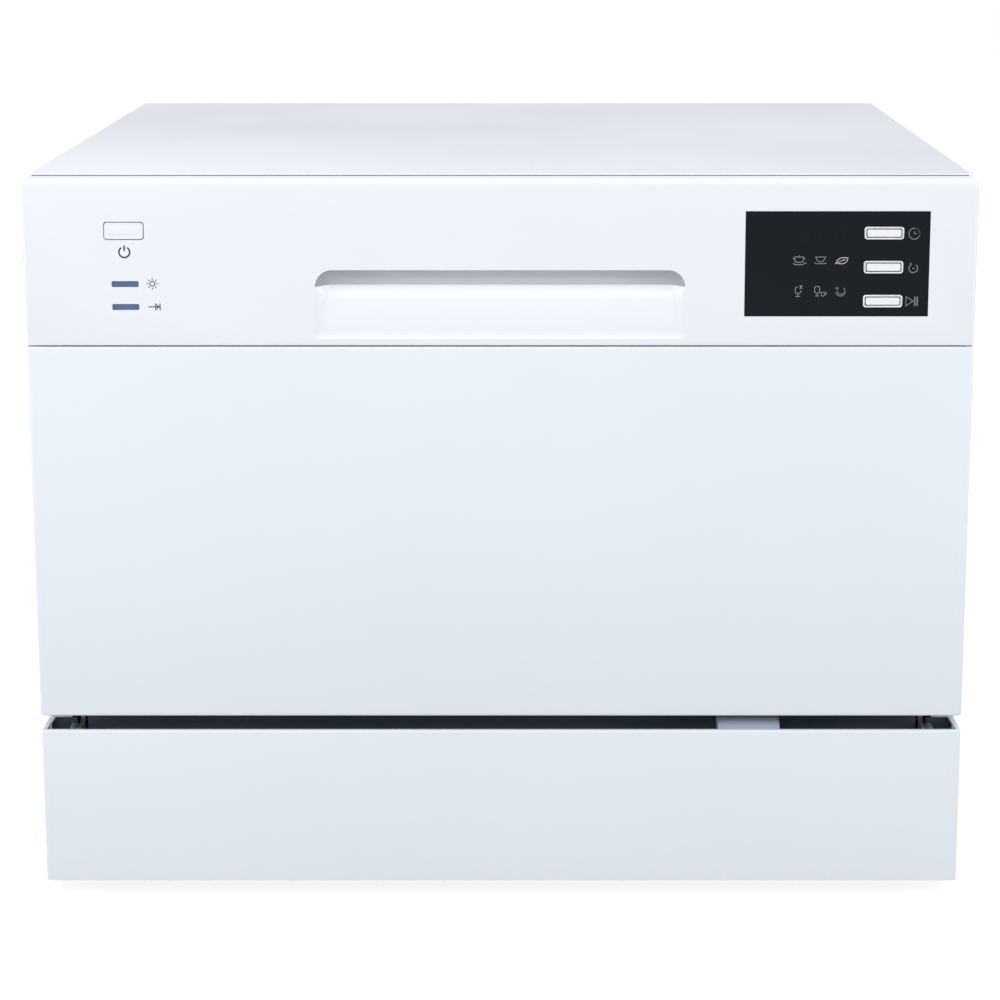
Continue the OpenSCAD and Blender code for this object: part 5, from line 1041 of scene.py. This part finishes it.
# the power button's pocket becomes a slightly raised pad in the middle of its face
def raisePad(bm):
    low, high = [Vector(p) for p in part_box("power_button")]
    middle = (low + high) / 2
    for v in bm.verts:
        level = v.co.y - low.y
        if (level < buttonPad["recess"] + 0.1 * mm and abs(v.co.x - middle.x) < buttonPad["halfWidth"]
                and abs(v.co.z - middle.z + buttonPad["offset"]) < buttonPad["halfHeight"]):
            if level > buttonPad["recess"] / 2:
                v.co.y = low.y - buttonPad["proud"]
            v.co.z += buttonPad["offset"]


# a copy of a CAD piece, merged, with its edges softened
def softenNode(node, finish, bevel):
    bm = bmesh.new()
    bm.from_mesh(frame["nodes"][node].data)
    bmesh.ops.remove_doubles(bm, verts=bm.verts, dist=0.02 * mm)
    bmesh.ops.dissolve_limit(bm, angle_limit=radians(1.0), verts=bm.verts, edges=bm.edges)
    if node in keySlim:
        slimKey(bm, node)
    if node == "power_button":
        raisePad(bm)
    finishPiece(node + "Soft", bm, finish, nodes=(node,), bevel=bevel * mm, smoothAngle=30)


# keeps the CAD solid and gives it its finish
def paintNode(node, finish):
    mesh = frame["nodes"][node].data
    mesh.materials.clear()
    mesh.materials.append(finishes[finish])


for node, (finish, bevel) in nodeFinish.items():
    if bevel:
        softenNode(node, finish, bevel)
    else:
        paintNode(node, finish)
print("CAD pieces dressed")


studio = {
    "floorSize": 6,
    "floorTone": (0.24, 0.24, 0.24, 1),
    "floorRoughness": 0.9,
    "floorGlow": 0.875,        # seen by the camera and in reflections only
    "skyTint": (0.93, 0.96, 1.0, 1),
    "skyStrength": 0.53,
    "white": (1, 1, 1, 1),
}
lamps = {      # place, aim, size, watts, tint
    "frontKey": ((-0.3, -2.3, 1.75), (0, 0, 0.25), (2.2, 1.2), 33.2, (1.0, 0.972, 0.962)),
    "topFill": ((0.1, 1.45, 2.0), (0, 0.1, 0.4), (2.2, 1.6), 20.5, (1.0, 0.975, 1.0)),
    "rightFill": ((2.3, -1.1, 0.7), (0, -0.1, 0.22), (1.2, 1.2), 19.5, (1, 1, 1)),
    "leftFill": ((-2.3, -1.1, 0.7), (0, -0.1, 0.22), (1.2, 1.2), 19.5, (1, 1, 1)),
}


def makeFloor():
    bm = bmesh.new()
    bmesh.ops.create_grid(bm, x_segments=1, y_segments=1, size=studio["floorSize"])
    mesh = bpy.data.meshes.new("floor")
    bm.to_mesh(mesh)
    bm.free()
    floor = placeObject("floor", mesh)
    material = bpy.data.materials.new("floorWhite")
    material.use_nodes = True
    mesh.materials.append(material)
    tree = material.node_tree
    shader = tree.nodes["Principled BSDF"]
    setValues(shader, {"Base Color": studio["floorTone"], "Roughness": studio["floorRoughness"],
                       "Emission Color": studio["white"]})
    path = addNode(tree, "ShaderNodeLightPath")
    seen = addNode(tree, "ShaderNodeMath", operation="MAXIMUM")
    glow = addNode(tree, "ShaderNodeMath", {1: studio["floorGlow"]}, operation="MULTIPLY")
    linkAll(tree, (path, "Is Camera Ray", seen, 0), (path, "Is Glossy Ray", seen, 1), (seen, "Value", glow, 0),
            (glow, "Value", shader, "Emission Strength"))


# a soft cool light from all round, and plain white where the camera sees it
def makeSky():
    world = bpy.data.worlds.new("studio")
    world.use_nodes = True
    bpy.context.scene.world = world
    tree = world.node_tree
    soft = tree.nodes["Background"]
    setValues(soft, {"Color": studio["skyTint"], "Strength": studio["skyStrength"]})
    white = addNode(tree, "ShaderNodeBackground", {"Color": studio["white"], "Strength": 1.0})
    pick = addNode(tree, "ShaderNodeMixShader")
    path = addNode(tree, "ShaderNodeLightPath")
    linkAll(tree, (path, "Is Camera Ray", pick, "Fac"), (soft, "Background", pick, 1),
            (white, "Background", pick, 2), (pick, "Shader", tree.nodes["World Output"], "Surface"))


def softLamp(name, place, aim, size, watts, tint):
    data = bpy.data.lights.new(name, "AREA")
    data.shape = "RECTANGLE"
    data.size, data.size_y = size
    data.energy = watts
    data.color = tint
    lamp = placeObject(name, data)
    lamp.location = place
    lamp.rotation_euler = (Vector(aim) - Vector(place)).to_track_quat("-Z", "Y").to_euler()


makeFloor()
makeSky()
for name, setup in lamps.items():
    softLamp(name, *setup)
bpy.context.scene.view_settings.view_transform = "Standard"
print("stage and light set")
